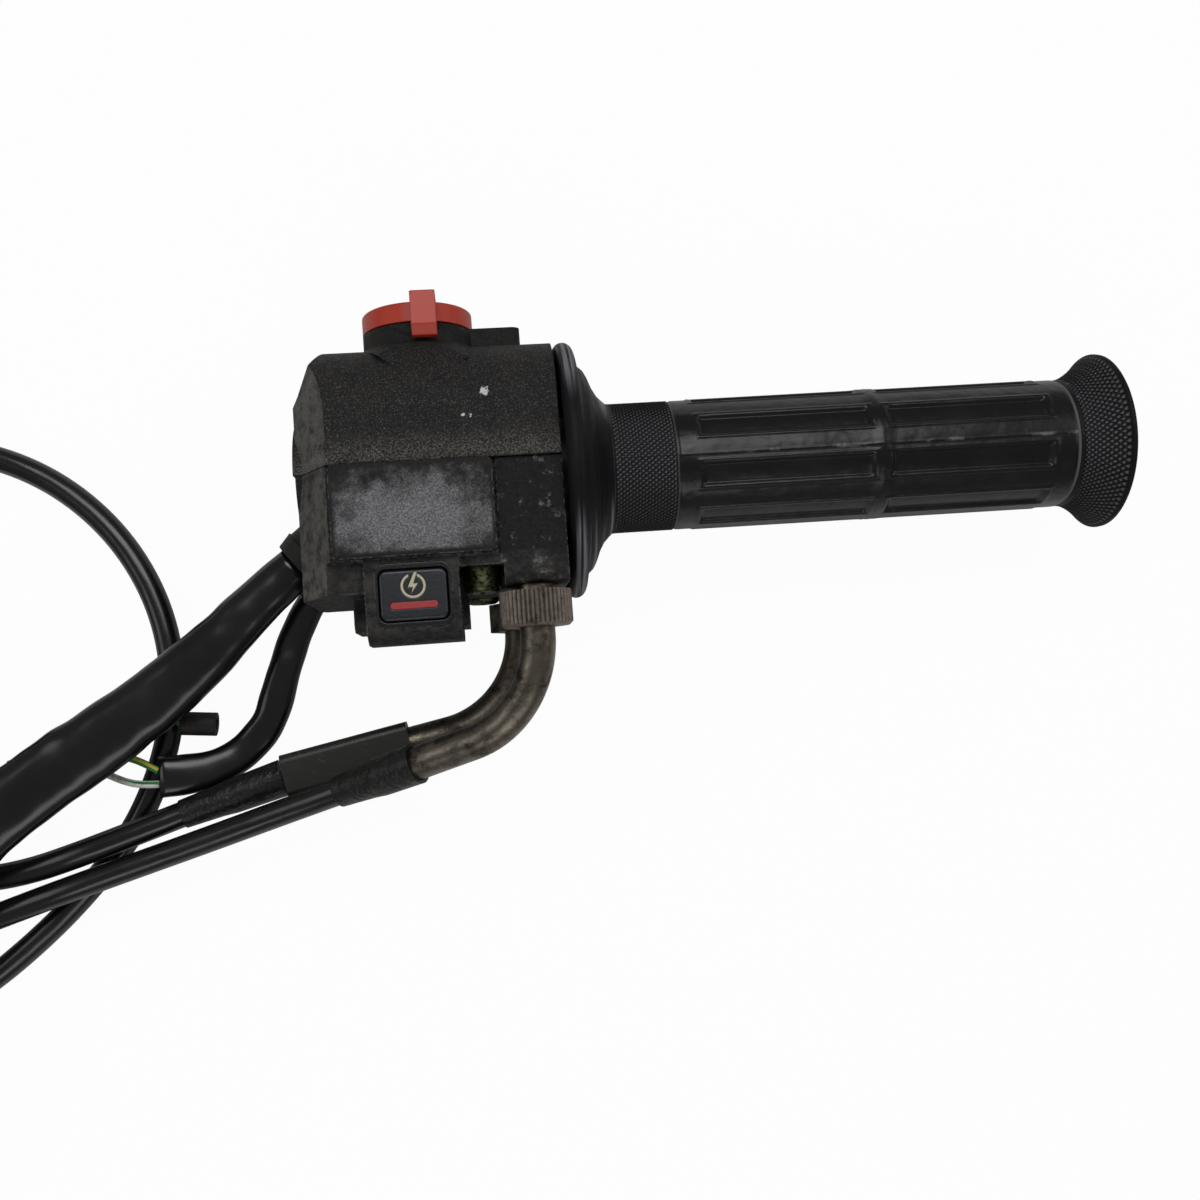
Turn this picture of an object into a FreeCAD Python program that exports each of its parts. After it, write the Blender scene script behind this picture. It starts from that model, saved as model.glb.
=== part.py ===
"""Right-hand motorcycle throttle grip with its switch housing, elbows, cables and wiring.

Millimetres. The origin is on the handlebar's axis, at the middle of the housing's clamp. +X runs along the
handlebar to the grip's outer end, +Y is up on the motorcycle, towards the kill switch, and +Z faces the
rider, on the start button's side. The part lies on its back, on the housing's rear pad and the grip flange's
rim.
"""
import FreeCAD, Part
import os
from math import asin, cos, pi, radians, sin, tan

V = FreeCAD.Vector
X = V(1, 0, 0)
Y = V(0, 1, 0)
Z = V(0, 0, 1)

# handlebar, throttle tube and grip
bar_r = 11.1
clamp_clearance = 0.1
tube_clearance = 0.3
tube_wall = 1.7
grip_wall = 2.5
grip_length = 135.9
grip_end_wall = 3.0
flange_r = 30.5
flange_bead_r = 2.2
flange_gap = 0.85
collar_start = 12.8
flare_length = 11.2
flare_r = 21.5

# housing
face_x = 40.0
case_length = 60.0
case_taper = 8.7
case_height = 29.0
case_depth = 28.3
case_front = 25.0
case_wall = 2.6
parting_gap = 0.2
clamp_rib = 10.5
screw_rib_start = 13.0
chamber_start = 25.6
end_wall = 2.6
moving_gap = 0.35

# throttle drum and the two cables
wire_r = 0.8
drum_pitch_r = 17.0
drum_flange_r = 19.6
return_groove_x = 32.3
pull_groove_x = 29.6
elbow_r = 4.0
elbow_bore_r = 2.2
elbow_bend_r = 24.0
elbow_top_y = -22.0
nipple_r = 2.4
throttle_turn = 75.0

# kill switch
kill_x = 9.5
kill_z = 3.0
knob_r = 12.9
knob_thick = 4.6
boss_top = 33.6
shaft_r = 4.2
kill_floor = 16.3

# start button
start_x = 5.7
start_y = -29.3
button_wide = 14.6
button_high = 11.1
button_face = 25.0
button_travel = 2.5
well_margin = 0.9

# cords
cable_r = 3.15
harness_r = 6.0
lead_r = 3.5
thin_wire_r = 0.9
bullet_r = 2.9
coil_mean_r = 31.55
coil_centre = V(-142, -45, 0)

# sizes that follow from the ones above
clamp_r = bar_r + clamp_clearance
tube_bore_r = bar_r + tube_clearance
tube_r = tube_bore_r + tube_wall
grip_r = tube_r + grip_wall
floor_z = -flange_r
case_start = face_x - case_length
taper_x = case_start + case_taper
drum_start = chamber_start + moving_gap
drum_end = face_x - end_wall - moving_gap
chamber_r = drum_flange_r + 0.9
grip_end = face_x + grip_length
on_floor = floor_z + cable_r + 0.05
coil_height = 2 * cable_r
on_coil = floor_z + 0.1 + coil_height + cable_r
kill = V(kill_x, 0, kill_z)
knob_low = boss_top + 0.3
lever_drop = 4.4
lever_clear_y = knob_low - lever_drop - 0.3

shapes = {}


def box(x0, x1, y0, y1, z0, z1):
    return Part.makeBox(x1 - x0, y1 - y0, z1 - z0, V(x0, y0, z0))


def rod(radius, start, end):
    return Part.makeCylinder(radius, (end - start).Length, start, end - start)


def cut(shape, *tools):
    for tool in tools:
        shape = shape.cut(tool)
    return shape


def join(shape, *others):
    for other in others:
        shape = shape.fuse(other)
    return shape.removeSplitter()


def group(*solids):
    return Part.Compound(list(solids))


def ring(outer, inner, start, end):
    return rod(outer, start, end).cut(rod(inner, start, end))


def spin_about_x(profile):
    """A solid of revolution about X from (x, radius) points."""
    points = [V(x, r, 0) for x, r in profile]
    face = Part.Face(Part.makePolygon(points + points[:1]))
    return face.revolve(V(0, 0, 0), X, 360)


def corner_arc(before, corner, after, radius):
    """The tangent arc of a corner, or None where the corner is sharp or straight."""
    a = (before - corner).normalize()
    b = (after - corner).normalize()
    half = a.getAngle(b) / 2
    if radius <= 0 or half > radians(89.99):
        return None
    start = corner + a * (radius / tan(half))
    end = corner + b * (radius / tan(half))
    middle = (a + b).normalize()
    mid = corner + middle * (radius / sin(half) - radius)
    return Part.Arc(start, mid, end)


def rounded_face(corners):
    """A closed face from (point, radius) corners."""
    arcs = []
    for i, (point, radius) in enumerate(corners):
        after = corners[(i + 1) % len(corners)][0]
        arcs.append(corner_arc(corners[i - 1][0], point, after, radius))
    edges = []
    for i, arc in enumerate(arcs):
        following = arcs[(i + 1) % len(arcs)]
        start = arc.EndPoint if arc else corners[i][0]
        end = following.StartPoint if following else corners[(i + 1) % len(corners)][0]
        if arc:
            edges.append(arc.toShape())
        if (end - start).Length > 1e-6:
            edges.append(Part.LineSegment(start, end).toShape())
    return Part.Face(Part.Wire(edges))


def section(corners, x0, x1):
    """A prism along X from (y, z, radius) corners."""
    return rounded_face([(V(x0, y, z), r) for y, z, r in corners]).extrude(V(x1 - x0, 0, 0))


def plate_z(corners, z0, z1):
    """A prism along Z from (x, y, radius) corners."""
    return rounded_face([(V(x, y, z0), r) for x, y, r in corners]).extrude(V(0, 0, z1 - z0))


def plate_y(corners, y0, y1):
    """A prism along Y from (x, z, radius) corners."""
    return rounded_face([(V(x, y0, z), r) for x, z, r in corners]).extrude(V(0, y1 - y0, 0))


def rectangle(x0, x1, y0, y1, radius):
    return [(x0, y0, radius), (x1, y0, radius), (x1, y1, radius), (x0, y1, radius)]


def start_plate(half_x, half_y, radius, z0, z1, y=start_y):
    """A rounded plate along Z, centred on the start button."""
    return plate_z(rectangle(start_x - half_x, start_x + half_x, y - half_y, y + half_y, radius), z0, z1)


def path_wire(points, radii):
    """Straight runs joined by tangent arcs."""
    edges = []
    start = points[0]
    for before, corner, after, radius in zip(points, points[1:], points[2:], radii):
        arc = corner_arc(before, corner, after, radius)
        edges.append(Part.LineSegment(start, arc.StartPoint).toShape())
        edges.append(arc.toShape())
        start = arc.EndPoint
    edges.append(Part.LineSegment(start, points[-1]).toShape())
    return Part.Wire(edges)


def sweep(wire, radius, start, direction):
    profile = Part.Wire(Part.makeCircle(radius, start, direction))
    return wire.makePipeShell([profile], True, True)


def pipe(points, radii, radius):
    return sweep(path_wire(points, radii), radius, points[0], points[1] - points[0])


def cord(name, route, radius):
    """A cord's tube along a route, with each arc as large as its two runs allow."""
    points = [V(*p) for p in route]
    radii = []
    for before, corner, after in zip(points, points[1:], points[2:]):
        half_turn = (corner - before).getAngle(after - corner) / 2
        shorter = min((corner - before).Length, (after - corner).Length)
        radii.append(0.45 * shorter / tan(half_turn))
    wire = path_wire(points, radii)
    solid = sweep(wire, radius, points[0], points[1] - points[0])
    whole = wire.Length * pi * radius**2
    print(f"{name}: length {wire.Length:.1f}, volume is {solid.Volume / whole:.4f} of section times length")
    print("   radii in diameters:", " ".join(f"{r / radius / 2:.1f}" for r in radii))
    return solid


def spring(radius, wire, start, height, turns):
    """A compression spring along Z, before it is turned to its axis."""
    pitch = (height - 2 * wire) / turns
    helix = Part.makeHelix(pitch, height - 2 * wire, radius)
    profile = Part.Wire(Part.makeCircle(wire, V(radius, 0, 0), V(0, radius, pitch / 2 / pi)))
    coil = Part.Wire(helix).makePipeShell([profile], True, True)
    coil.translate(start + V(0, 0, wire))
    return coil


def screw_y(x, y_seat, z, shank_r, head_r, head_h, length):
    """A pan-head screw whose shank runs up along Y from its seat."""
    seat = V(x, y_seat, z)
    head = rod(head_r, seat - Y * head_h, seat)
    head = head.makeFillet(min(0.4 * head_h, 0.4 * head_r), [head.Edges[2]])
    slot = box(x - head_r, x + head_r, y_seat - head_h - 1, y_seat - head_h * 0.5, z - 0.55, z + 0.55)
    arm = 0.7 * head_r
    cross = box(x - 0.55, x + 0.55, y_seat - head_h - 1, y_seat - head_h * 0.5, z - arm, z + arm)
    return cut(join(head, rod(shank_r, seat - Y * 0.2, seat + Y * length)), slot, cross)


# ---- housing -----------------------------------------------------------------------------------------

upper_corners = [
    (parting_gap / 2, floor_z, 0),
    (case_height, floor_z, 17),
    (case_height, case_front, 18),
    (parting_gap / 2, case_front, 0),
]
lower_corners = [
    (-parting_gap / 2, floor_z, 0),
    (-case_depth, floor_z, 8),
    (-case_depth, case_front - 1.0, 2.5),
    (-parting_gap / 2, case_front - 1.0, 0),
]
inside_front = case_front - case_wall
inside_back = floor_z + case_wall

# inboard end: the full section tapers to a round collar about the handlebar
collar_r = clamp_r + 3.4
front_taper = Part.Face(
    Part.makePolygon(
        [
            V(taper_x, -60, case_front),
            V(case_start + 0.5, -60, 12),
            V(case_start - 9, -60, 12),
            V(case_start - 9, -60, case_front + 6),
            V(taper_x, -60, case_front + 6),
            V(taper_x, -60, case_front),
        ]
    )
).extrude(V(0, 120, 0))
top_taper = Part.Face(
    Part.makePolygon(
        [
            V(taper_x, case_height + 0.5, -60),
            V(case_start + 2, 18, -60),
            V(case_start + 0.5, 16, -60),
            V(case_start - 9, 16, -60),
            V(case_start - 9, case_height + 6, -60),
            V(taper_x, case_height + 6, -60),
            V(taper_x, case_height + 0.5, -60),
        ]
    )
).extrude(V(0, 0, 120))
back_taper = Part.Face(
    Part.makePolygon(
        [
            V(taper_x, -60, floor_z),
            V(case_start, -60, floor_z + 9),
            V(case_start - 9, -60, floor_z + 9),
            V(case_start - 9, -60, floor_z - 6),
            V(taper_x, -60, floor_z - 6),
            V(taper_x, -60, floor_z),
        ]
    )
).extrude(V(0, 120, 0))

bar_hole = rod(clamp_r, V(case_start - 5, 0, 0), V(chamber_start + 0.5, 0, 0))
drum_chamber = rod(chamber_r, V(chamber_start, 0, 0), V(face_x - end_wall, 0, 0))
tube_hole = rod(tube_r + moving_gap, V(face_x - end_wall - 1, 0, 0), V(face_x + 1, 0, 0))

case_screw_x = 20.7
case_screw_z = 16.4
case_screw_seat = -23.6
case_screw_r = 2.5
case_screw_length = 38.0
washer_thick = 1.0
spring_washer_thick = 1.2
screw_head_h = 3.6
screw_sides = (1, -1)


def upper_case():
    body = section(upper_corners, case_start + 0.5, face_x)
    body = cut(body, front_taper, top_taper, back_taper)
    collar = rod(collar_r, V(case_start, 0, 0), V(taper_x + 4, 0, 0))
    collar = collar.common(box(case_start - 1, face_x, parting_gap / 2, 60, -60, 60))
    boss = rod(knob_r, V(kill_x, case_height - 6, kill_z), V(kill_x, boss_top, kill_z))
    shoulder = plate_y(rectangle(kill_x + 4, 33.4, -13, 8.5, 2.0), case_height - 5, boss_top)
    front_y = boss_top - 1.0
    front_z = kill_z + knob_r - 0.8
    slope = section([(front_y, 0, 0), (front_y, front_z, 0), (16.0, 24.9, 0), (16.0, 0, 0)], -5, face_x - 10)
    outline = [
        (kill_x - knob_r + 0.8, front_y, 0),
        (kill_x - knob_r + 0.3, case_height - 0.5, 0),
        (kill_x - 5.0, 22.0, 6.0),
        (kill_x + 3.2, 17.4, 0.8),
        (kill_x + knob_r - 0.1, 25.0, 0.5),
        (kill_x + knob_r - 0.8, front_y, 0),
    ]
    # above the sweep of the knob's lever the fairing keeps to a cylinder, and a cone spreads it below
    spread = 11.0
    inner_r = knob_r + 0.8
    outer_r = inner_r + spread * 1.3
    low = kill + Y * (lever_clear_y - spread)
    top = rod(inner_r, kill + Y * lever_clear_y, kill + Y * boss_top)
    cone = Part.makeCone(outer_r, inner_r, spread, low, Y)
    skirt = rod(outer_r, kill + Y * 10, low)
    fairing = slope.common(plate_z(outline, 0, 40)).common(join(top, cone, skirt))
    body = join(body, collar, boss, fairing, shoulder)
    room = section(
        [
            (parting_gap / 2 - 1, inside_back, 0),
            (case_height - case_wall, inside_back, 17 - case_wall),
            (case_height - case_wall, inside_front, 18 - case_wall),
            (parting_gap / 2 - 1, inside_front, 0),
        ],
        case_start + clamp_rib,
        screw_rib_start,
    )
    kill_room = rod(knob_r - 2.5, V(kill_x, kill_floor, kill_z), V(kill_x, boss_top - case_wall, kill_z))
    shaft_hole = rod(shaft_r + 0.08, V(kill_x, 25, kill_z), V(kill_x, boss_top + 1, kill_z))
    body = cut(body, bar_hole, drum_chamber, tube_hole, room, kill_room, shaft_hole)
    for side in screw_sides:
        at = V(case_screw_x, 0, side * case_screw_z)
        body = body.cut(rod(case_screw_r, at - Y, at + Y * (case_screw_seat + case_screw_length + 0.5)))
    return body


panel = (-11.2, 24.4, -20.9, -parting_gap / 2, 26.0)
start_box = (-4.9, 16.0, -39.6, -20.0, 8.0, 24.0)
step_box = (-8.6, 17.4, -36.0, -22.0, -9.0, 12.0)
well_x = button_wide / 2 + well_margin
well_y = button_high / 2 + well_margin + 0.6
well_floor = 10.0
start_screw_r = 1.2
start_screw_places = [(start_x + way * 6.0, start_y + way * 4.4) for way in (-1, 1)]


def lower_case():
    body = section(lower_corners, case_start + 0.5, face_x)
    body = cut(body, front_taper, back_taper)
    collar = rod(collar_r, V(case_start + 0.5, 0, 0), V(taper_x + 4, 0, 0))
    collar = collar.common(box(case_start - 1, face_x, -60, -parting_gap / 2, -60, 60))
    x0, x1, y0, y1, z1 = panel
    raised = plate_z(rectangle(x0, x1, y0, y1, 1.2), case_front - 6, z1)
    x0, x1, y0, y1, z0, z1 = start_box
    housing = section(
        [(y1, z0, 0), (y0, z0, 2.0), (y0, z1 - 4.5, 1.5), (y0 + 2.4, z1, 1.2), (y1, z1, 0)], x0, x1
    )
    x0, x1, y0, y1, z0, z1 = step_box
    step = section([(y1, z0, 0), (y0, z0, 3.0), (y0, z1, 2.0), (y1, z1, 0)], x0, x1)
    body = join(body, collar, raised, housing, step)
    shelf = section([(-21.2, 22.4, 0), (-21.2, 30, 0), (-60, 30, 0), (-60, 21.4, 0)], -30, start_box[0])
    right_corners = [(-21.2, 23.0, 0), (-21.2, 30, 0), (-60, 30, 0), (-60, 23.0, 0)]
    shelf_right = section(right_corners, start_box[1], 25.2)
    shelf_mid = section([(-20.95, 24.0, 0), (-20.95, 30, 0), (-60, 30, 0), (-60, 24.0, 0)], -30, 25.2)
    step_line = box(24.5, 25.1, -24, 1, case_front - 1.9, 30)
    room = section(
        [
            (1, inside_back, 0),
            (-case_depth + case_wall, inside_back, 8 - case_wall),
            (-case_depth + case_wall, 8.0, 0),
            (-19.6, 8.0, 0),
            (-19.6, inside_front - 1, 0),
            (1, inside_front - 1, 0),
        ],
        case_start + clamp_rib,
        screw_rib_start,
    )
    well = start_plate(well_x, well_y, 2.2, well_floor, 40)
    body = cut(body, shelf, shelf_right, shelf_mid, step_line, room, well)
    body = cut(body, bar_hole, drum_chamber, tube_hole)
    body = body.cut(box(start_x - 3, start_x + 3, -27, -19, well_floor - 5, well_floor + 1))
    for side in screw_sides:
        at = V(case_screw_x, 0, side * case_screw_z)
        body = body.cut(rod(case_screw_r + 0.3, at + Y * (case_screw_seat - 1), at + Y))
        low = side * case_screw_z - 6.6 if side > 0 else floor_z - 5
        high = 40 if side > 0 else side * case_screw_z + 6.6
        body = body.cut(box(case_screw_x - 4.95, case_screw_x + 4.95, -60, case_screw_seat, low, high))
    for x, side in ((return_groove_x, 1), (pull_groove_x, -1)):
        at = V(x, 0, side * drum_pitch_r)
        body = body.cut(rod(elbow_r + 0.05, at + Y * (-case_depth - 5), at + Y * elbow_top_y))
        body = body.cut(rod(elbow_bore_r, at + Y * (elbow_top_y - 1), at + Y * -8))
    for x, y in start_screw_places:
        body = body.cut(rod(start_screw_r + 0.05, V(x, y, 7), V(x, y, well_floor + 1)))
    for route, radius, rim, length in grommets:
        start = V(*route[0])
        way = (start - V(*route[1])).normalize()
        body = body.cut(rod(radius + rim + 0.3, start - way * 4, start + way * (lip_length + 0.2)))
        body = body.cut(rod(radius + grommet_wall + 0.2, start, start + way * (length + 0.3)))
    return body


def case_screws():
    seat = case_screw_seat - washer_thick - spring_washer_thick
    solids = []
    for side in screw_sides:
        length = case_screw_length + washer_thick + spring_washer_thick
        z = side * case_screw_z
        solids.append(screw_y(case_screw_x, seat, z, case_screw_r, 4.2, screw_head_h, length))
    return group(*solids)


def case_screw_washers():
    solids = []
    for side in screw_sides:
        top = V(case_screw_x, case_screw_seat, side * case_screw_z)
        solids.append(ring(4.8, case_screw_r + 0.05, top - Y * washer_thick, top))
        low = top - Y * washer_thick
        split = ring(4.3, case_screw_r + 0.05, low - Y * spring_washer_thick, low)
        gap = box(low.x, low.x + 6, low.y - 3, low.y, low.z - 0.4, low.z + 0.4)
        solids.append(split.cut(gap))
    return group(*solids)


# ---- cord routes: the points are where the straight runs would meet ----------------------------------

return_exit = (-16.1, -72.2, -6.0)
return_route = [
    return_exit,
    (-29.0, -75.9, -10.6),
    (-48.0, -81.4, -14.3),
    (-67.0, -86.7, -17.2),
    (-84.0, -91.4, -17.8),
    (-98.0, -95.6, -21.5),
    (-111.0, -99.6, -26.3),
    (-129.0, -102.6, on_floor),
    (-153.0, -98.5, on_floor),
    (-174.0, -83.0, on_floor),
    (-187.5, -60.0, on_floor),
    (-191.5, -33.0, on_floor),
    (-183.5, -8.0, on_floor),
    (-165.0, 10.5, on_floor),
    (-141.0, 20.0, on_floor),
    (-115.0, 21.6, on_floor),
    (-89.5, 13.8, on_floor),
    (-70.0, -3.4, on_floor),
    (-58.9, -26.5, on_floor),
    (-58.0, -52.0, on_floor),
    (-67.0, -76.5, on_floor),
    (-82.5, -94.5, on_floor),
    (-99.0, -108.5, on_floor),
    (-115.0, -118.5, on_floor),
    (-132.0, -124.0, -27.2),
    (-148.0, -124.4, -26.6),
]

pull_exit = (-55.4, -75.4, -18.8)
pull_route = [
    pull_exit,
    (-67.0, -79.0, -17.9),
    (-80.5, -83.1, -17.8),
    (-93.0, -86.4, -21.4),
    (-106.0, -88.0, -25.9),
    (-119.5, -86.6, on_floor),
    (-133.0, -82.2, on_floor),
]
pull_tail = [
    (-141.5, -76.5, on_coil),
    (-156.8, -72.8, on_coil),
    (-167.5, -63.5, on_coil + 0.15),
    (-173.0, -51.5, on_coil + 0.45),
    (-173.0, -35.5, on_coil + 0.75),
]

harness_exit = (case_start - 4.0, -17.0, -14.0)
harness_route = [
    harness_exit,
    (-31.4, -22.9, -14.3),
    (-39.5, -30.3, -14.5),
    (-48.0, -38.1, -14.5),
    (-59.0, -46.8, -14.5),
    (-71.5, -55.1, -14.5),
    (-84.0, -62.6, -14.5),
    (-97.5, -71.4, -14.3),
    (-109.0, -81.5, -14.2),
    (-118.5, -94.0, -14.2),
    (-124.8, -110.5, -14.2),
    (-129.3, -129.5, -14.4),
    (-143.1, -146.6, -18.9),
    (-163.0, -156.1, -23.9),
    (-185.5, -156.1, -24.4),
]

lead_exit = (case_start - 2.0, -25.0, -23.5)
lead_route = [
    lead_exit,
    (-25.6, -30.8, -23.4),
    (-28.7, -38.0, -23.4),
    (-31.2, -45.8, -23.6),
    (-34.6, -55.2, -24.2),
    (-41.4, -62.3, -24.4),
    (-50.6, -66.2, -22.9),
    (-61.0, -66.2, -20.2),
]
white_wire_route = [
    (-61.0, -67.8, -20.0),
    (-65.5, -67.7, -20.6),
    (-70.5, -66.5, -23.2),
    (-75.5, -64.5, -27.0),
    (-81.8, -62.5, -28.6),
    (-88.5, -61.5, -28.9),
]
green_wire_route = [
    (-61.0, -64.6, -20.0),
    (-65.9, -61.6, -21.2),
    (-71.4, -60.1, -22.1),
    (-74.8, -55.7, -22.4),
    (-74.6, -50.1, -22.4),
    (-70.7, -46.1, -22.4),
    (-65.1, -45.7, -22.4),
    (-61.0, -49.6, -22.4),
    (-55.5, -53.4, -22.3),
]

# each grommet: the cord's route, its radius, the lip's rim and the whole length
lip_length = 4.0
grommet_wall = 0.75
grommets = [(harness_route, harness_r, 1.2, 7.0), (lead_route, lead_r, 0.9, 5.5)]

shapes["case_upper"] = upper_case()
shapes["case_lower"] = lower_case()
shapes["case_screws"] = case_screws()
shapes["case_screw_washers"] = case_screw_washers()

# ---- throttle tube, drum and grip --------------------------------------------------------------------


def throttle_drum():
    """The drum on the tube's inner end: two cable grooves, each with a pocket for its nipple."""
    groove_r = drum_pitch_r - wire_r - 0.05
    body = ring(drum_flange_r, tube_bore_r, V(drum_start, 0, 0), V(drum_end, 0, 0))
    for x, angle in ((return_groove_x, return_nipple_angle), (pull_groove_x, pull_nipple_angle)):
        half = wire_r + 0.15
        body = body.cut(ring(drum_flange_r + 1, groove_r, V(x - half, 0, 0), V(x + half, 0, 0)))
        seat = V(x, drum_pitch_r * sin(angle), drum_pitch_r * cos(angle))
        out = V(0, sin(angle), cos(angle))
        low, high = nipple_span(x)
        for step in (0, 1.6, 3.2):
            at = seat + out * step
            body = body.cut(rod(nipple_r + 0.02, at - low, at + high))
    return body


def nipple_span(x):
    """How far a nipple reaches along X on each side of its groove."""
    return (X * 2.1, X * 1.3) if x == pull_groove_x else (X * 1.3, X * 2.1)


def nipple(x, angle):
    seat = V(x, drum_pitch_r * sin(angle), drum_pitch_r * cos(angle))
    low, high = nipple_span(x)
    return rod(nipple_r, seat - low, seat + high)


return_nipple_angle = radians(118)
pull_nipple_angle = radians(180 - 52)


collar_x = face_x + collar_start
flare_x = grip_end - flare_length


def grip_flange():
    """The grip's inner end in profile: the flange's bead, its dish and the thin collar."""
    bead_x = face_x + flange_gap + flange_bead_r
    bead_centre = flange_r - flange_bead_r
    bead = [
        (bead_x + flange_bead_r * sin(radians(a)), bead_centre + flange_bead_r * cos(radians(a)))
        for a in range(-130, 131, 20)
    ]
    cone = [
        (bead_x + 2.4, bead_centre - 3.0),
        (bead_x + 4.6, bead_centre - 4.6),
        (bead_x + 5.4, bead_centre - 5.9),
        (bead_x + 6.4, bead_centre - 8.4),
        (bead_x + 7.6, bead_centre - 10.6),
        (collar_x - 0.9, grip_r + 0.5),
        (collar_x, grip_r),
    ]
    inside = [
        (collar_x, tube_r),
        (bead_x - 0.6, tube_r),
        (bead_x - 0.6, tube_r + 1.8),
        (collar_x - 2.6, tube_r + 1.8),
        (bead_x + 4.2, bead_centre - 10.6),
        (bead_x + 2.0, bead_centre - 6.4),
        (bead_x + 0.2, bead_centre - 4.0),
    ]
    return spin_about_x(bead + cone + inside)


def grip_flare():
    """The grip's outer end in profile: the flare and the wall that closes it."""
    flare = [
        (flare_x + share * (flare_length - 1.2), grip_r + (flare_r - grip_r) * share**1.7)
        for share in (0, 0.25, 0.5, 0.75, 1.0)
    ]
    end = [
        (grip_end, flare_r - 0.6),
        (grip_end, flare_r - 1.6),
        (grip_end - 1.5, grip_r - 1.0),
        (grip_end - 1.0, 0),
        (grip_end - grip_end_wall, 0),
        (grip_end - grip_end_wall, tube_r),
        (flare_x, tube_r),
    ]
    return spin_about_x(flare + end)


shapes["throttle_drum"] = throttle_drum()
shapes["throttle_tube"] = ring(tube_r, tube_bore_r, V(drum_end, 0, 0), V(grip_end - grip_end_wall, 0, 0))
shapes["grip_flange"] = grip_flange()
shapes["grip_body"] = ring(grip_r, tube_r, V(collar_x, 0, 0), V(flare_x, 0, 0))
shapes["grip_flare"] = grip_flare()
shapes["return_nipple"] = nipple(return_groove_x, return_nipple_angle)
shapes["pull_nipple"] = nipple(pull_groove_x, pull_nipple_angle)

# ---- elbows, nuts and cable ends ---------------------------------------------------------------------

return_corner = V(return_groove_x, -57.9, drum_pitch_r)
return_way = (V(*return_exit) - return_corner).normalize()
return_elbow_end = return_corner + return_way * 37.5
pull_corner = V(pull_groove_x, -56.9, -drum_pitch_r)
pull_cover_end = V(-33.5, -69.0, -drum_pitch_r - 2)
pull_way = (pull_cover_end - pull_corner).normalize()
pull_elbow_end = pull_corner + pull_way * 31.0


def elbow(groove_x, side, corner, end):
    top = V(groove_x, elbow_top_y, side * drum_pitch_r)
    outer = pipe([top, corner, end], [elbow_bend_r], elbow_r)
    way = (end - corner).normalize()
    bore = pipe([top + Y, corner, end + way], [elbow_bend_r], elbow_bore_r)
    return outer.cut(bore)


def inner_wire(groove_x, side, angle, corner, end):
    """The steel wire from its nipple, round the drum and down through the elbow."""
    tangent = V(groove_x, 0, side * drum_pitch_r)
    start_angle = angle - side * asin((nipple_r + moving_gap / 10) / drum_pitch_r)
    middle_angle = (start_angle + (0 if side > 0 else pi)) / 2
    start = V(groove_x, drum_pitch_r * sin(start_angle), drum_pitch_r * cos(start_angle))
    middle = V(groove_x, drum_pitch_r * sin(middle_angle), drum_pitch_r * cos(middle_angle))
    wrap = Part.Arc(start, middle, tangent)
    bend = corner_arc(tangent, corner, end, elbow_bend_r)
    wire = Part.Wire(
        [
            wrap.toShape(),
            Part.LineSegment(tangent, bend.StartPoint).toShape(),
            bend.toShape(),
            Part.LineSegment(bend.EndPoint, end).toShape(),
        ]
    )
    way = V(0, -side * cos(start_angle), side * sin(start_angle))
    return sweep(wire, wire_r, start, way)


def ring_nut(centre, top_y, height, radius, teeth):
    """A knurled ring nut whose straight ridges run along Y."""
    points = []
    for i in range(2 * teeth):
        r = radius if i % 2 else radius - 0.45
        angle = pi * i / teeth
        points.append(V(centre.x + r * cos(angle), top_y - height, centre.z + r * sin(angle)))
    body = Part.Face(Part.makePolygon(points + points[:1])).extrude(V(0, height, 0))
    low = V(centre.x, top_y - height, centre.z)
    edge = Part.makeCone(radius - 0.8, radius + 0.6, 1.4, low, Y)
    keep = join(edge, rod(radius + 0.6, low + Y * 1.4, low + Y * height))
    hole = rod(elbow_r + 0.03, low - Y, low + Y * (height + 1))
    return body.common(keep).cut(hole)


def hex_nut(centre, top_y, height, across):
    corner_r = across / 2 / cos(pi / 6)
    points = [
        V(centre.x + corner_r * cos(pi / 3 * i), top_y - height, centre.z + corner_r * sin(pi / 3 * i))
        for i in range(6)
    ]
    body = Part.Face(Part.makePolygon(points + points[:1])).extrude(V(0, height, 0))
    hole = rod(elbow_r + 0.03, V(centre.x, top_y - height - 1, centre.z), V(centre.x, top_y + 1, centre.z))
    return body.cut(hole)


nut_top = case_screw_seat - washer_thick - spring_washer_thick - screw_head_h - 0.3
shapes["return_elbow"] = elbow(return_groove_x, 1, return_corner, return_elbow_end)
shapes["pull_elbow"] = elbow(pull_groove_x, -1, pull_corner, pull_elbow_end)
shapes["return_elbow_nut"] = ring_nut(V(return_groove_x, 0, drum_pitch_r), nut_top, 8.0, 8.2, 46)
shapes["pull_elbow_nut"] = hex_nut(V(pull_groove_x, 0, -drum_pitch_r), nut_top, 7.0, 13.0)
shapes["return_inner_wire"] = inner_wire(
    return_groove_x, 1, return_nipple_angle, return_corner, return_elbow_end
)
shapes["pull_inner_wire"] = inner_wire(pull_groove_x, -1, pull_nipple_angle, pull_corner, pull_elbow_end)


def stepped_sleeve(start, way, steps, bore_r, bore_depth):
    """A rubber boot: cones from (distance, radius) steps, hollow over the first stretch."""
    body = None
    for (s0, r0), (s1, r1) in zip(steps, steps[1:]):
        if abs(r0 - r1) < 1e-6:
            piece = rod(r0, start + way * s0, start + way * s1)
        else:
            piece = Part.makeCone(r0, r1, s1 - s0, start + way * s0, way)
        body = piece if body is None else body.fuse(piece)
    return body.removeSplitter().cut(rod(bore_r, start - way, start + way * bore_depth))


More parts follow.
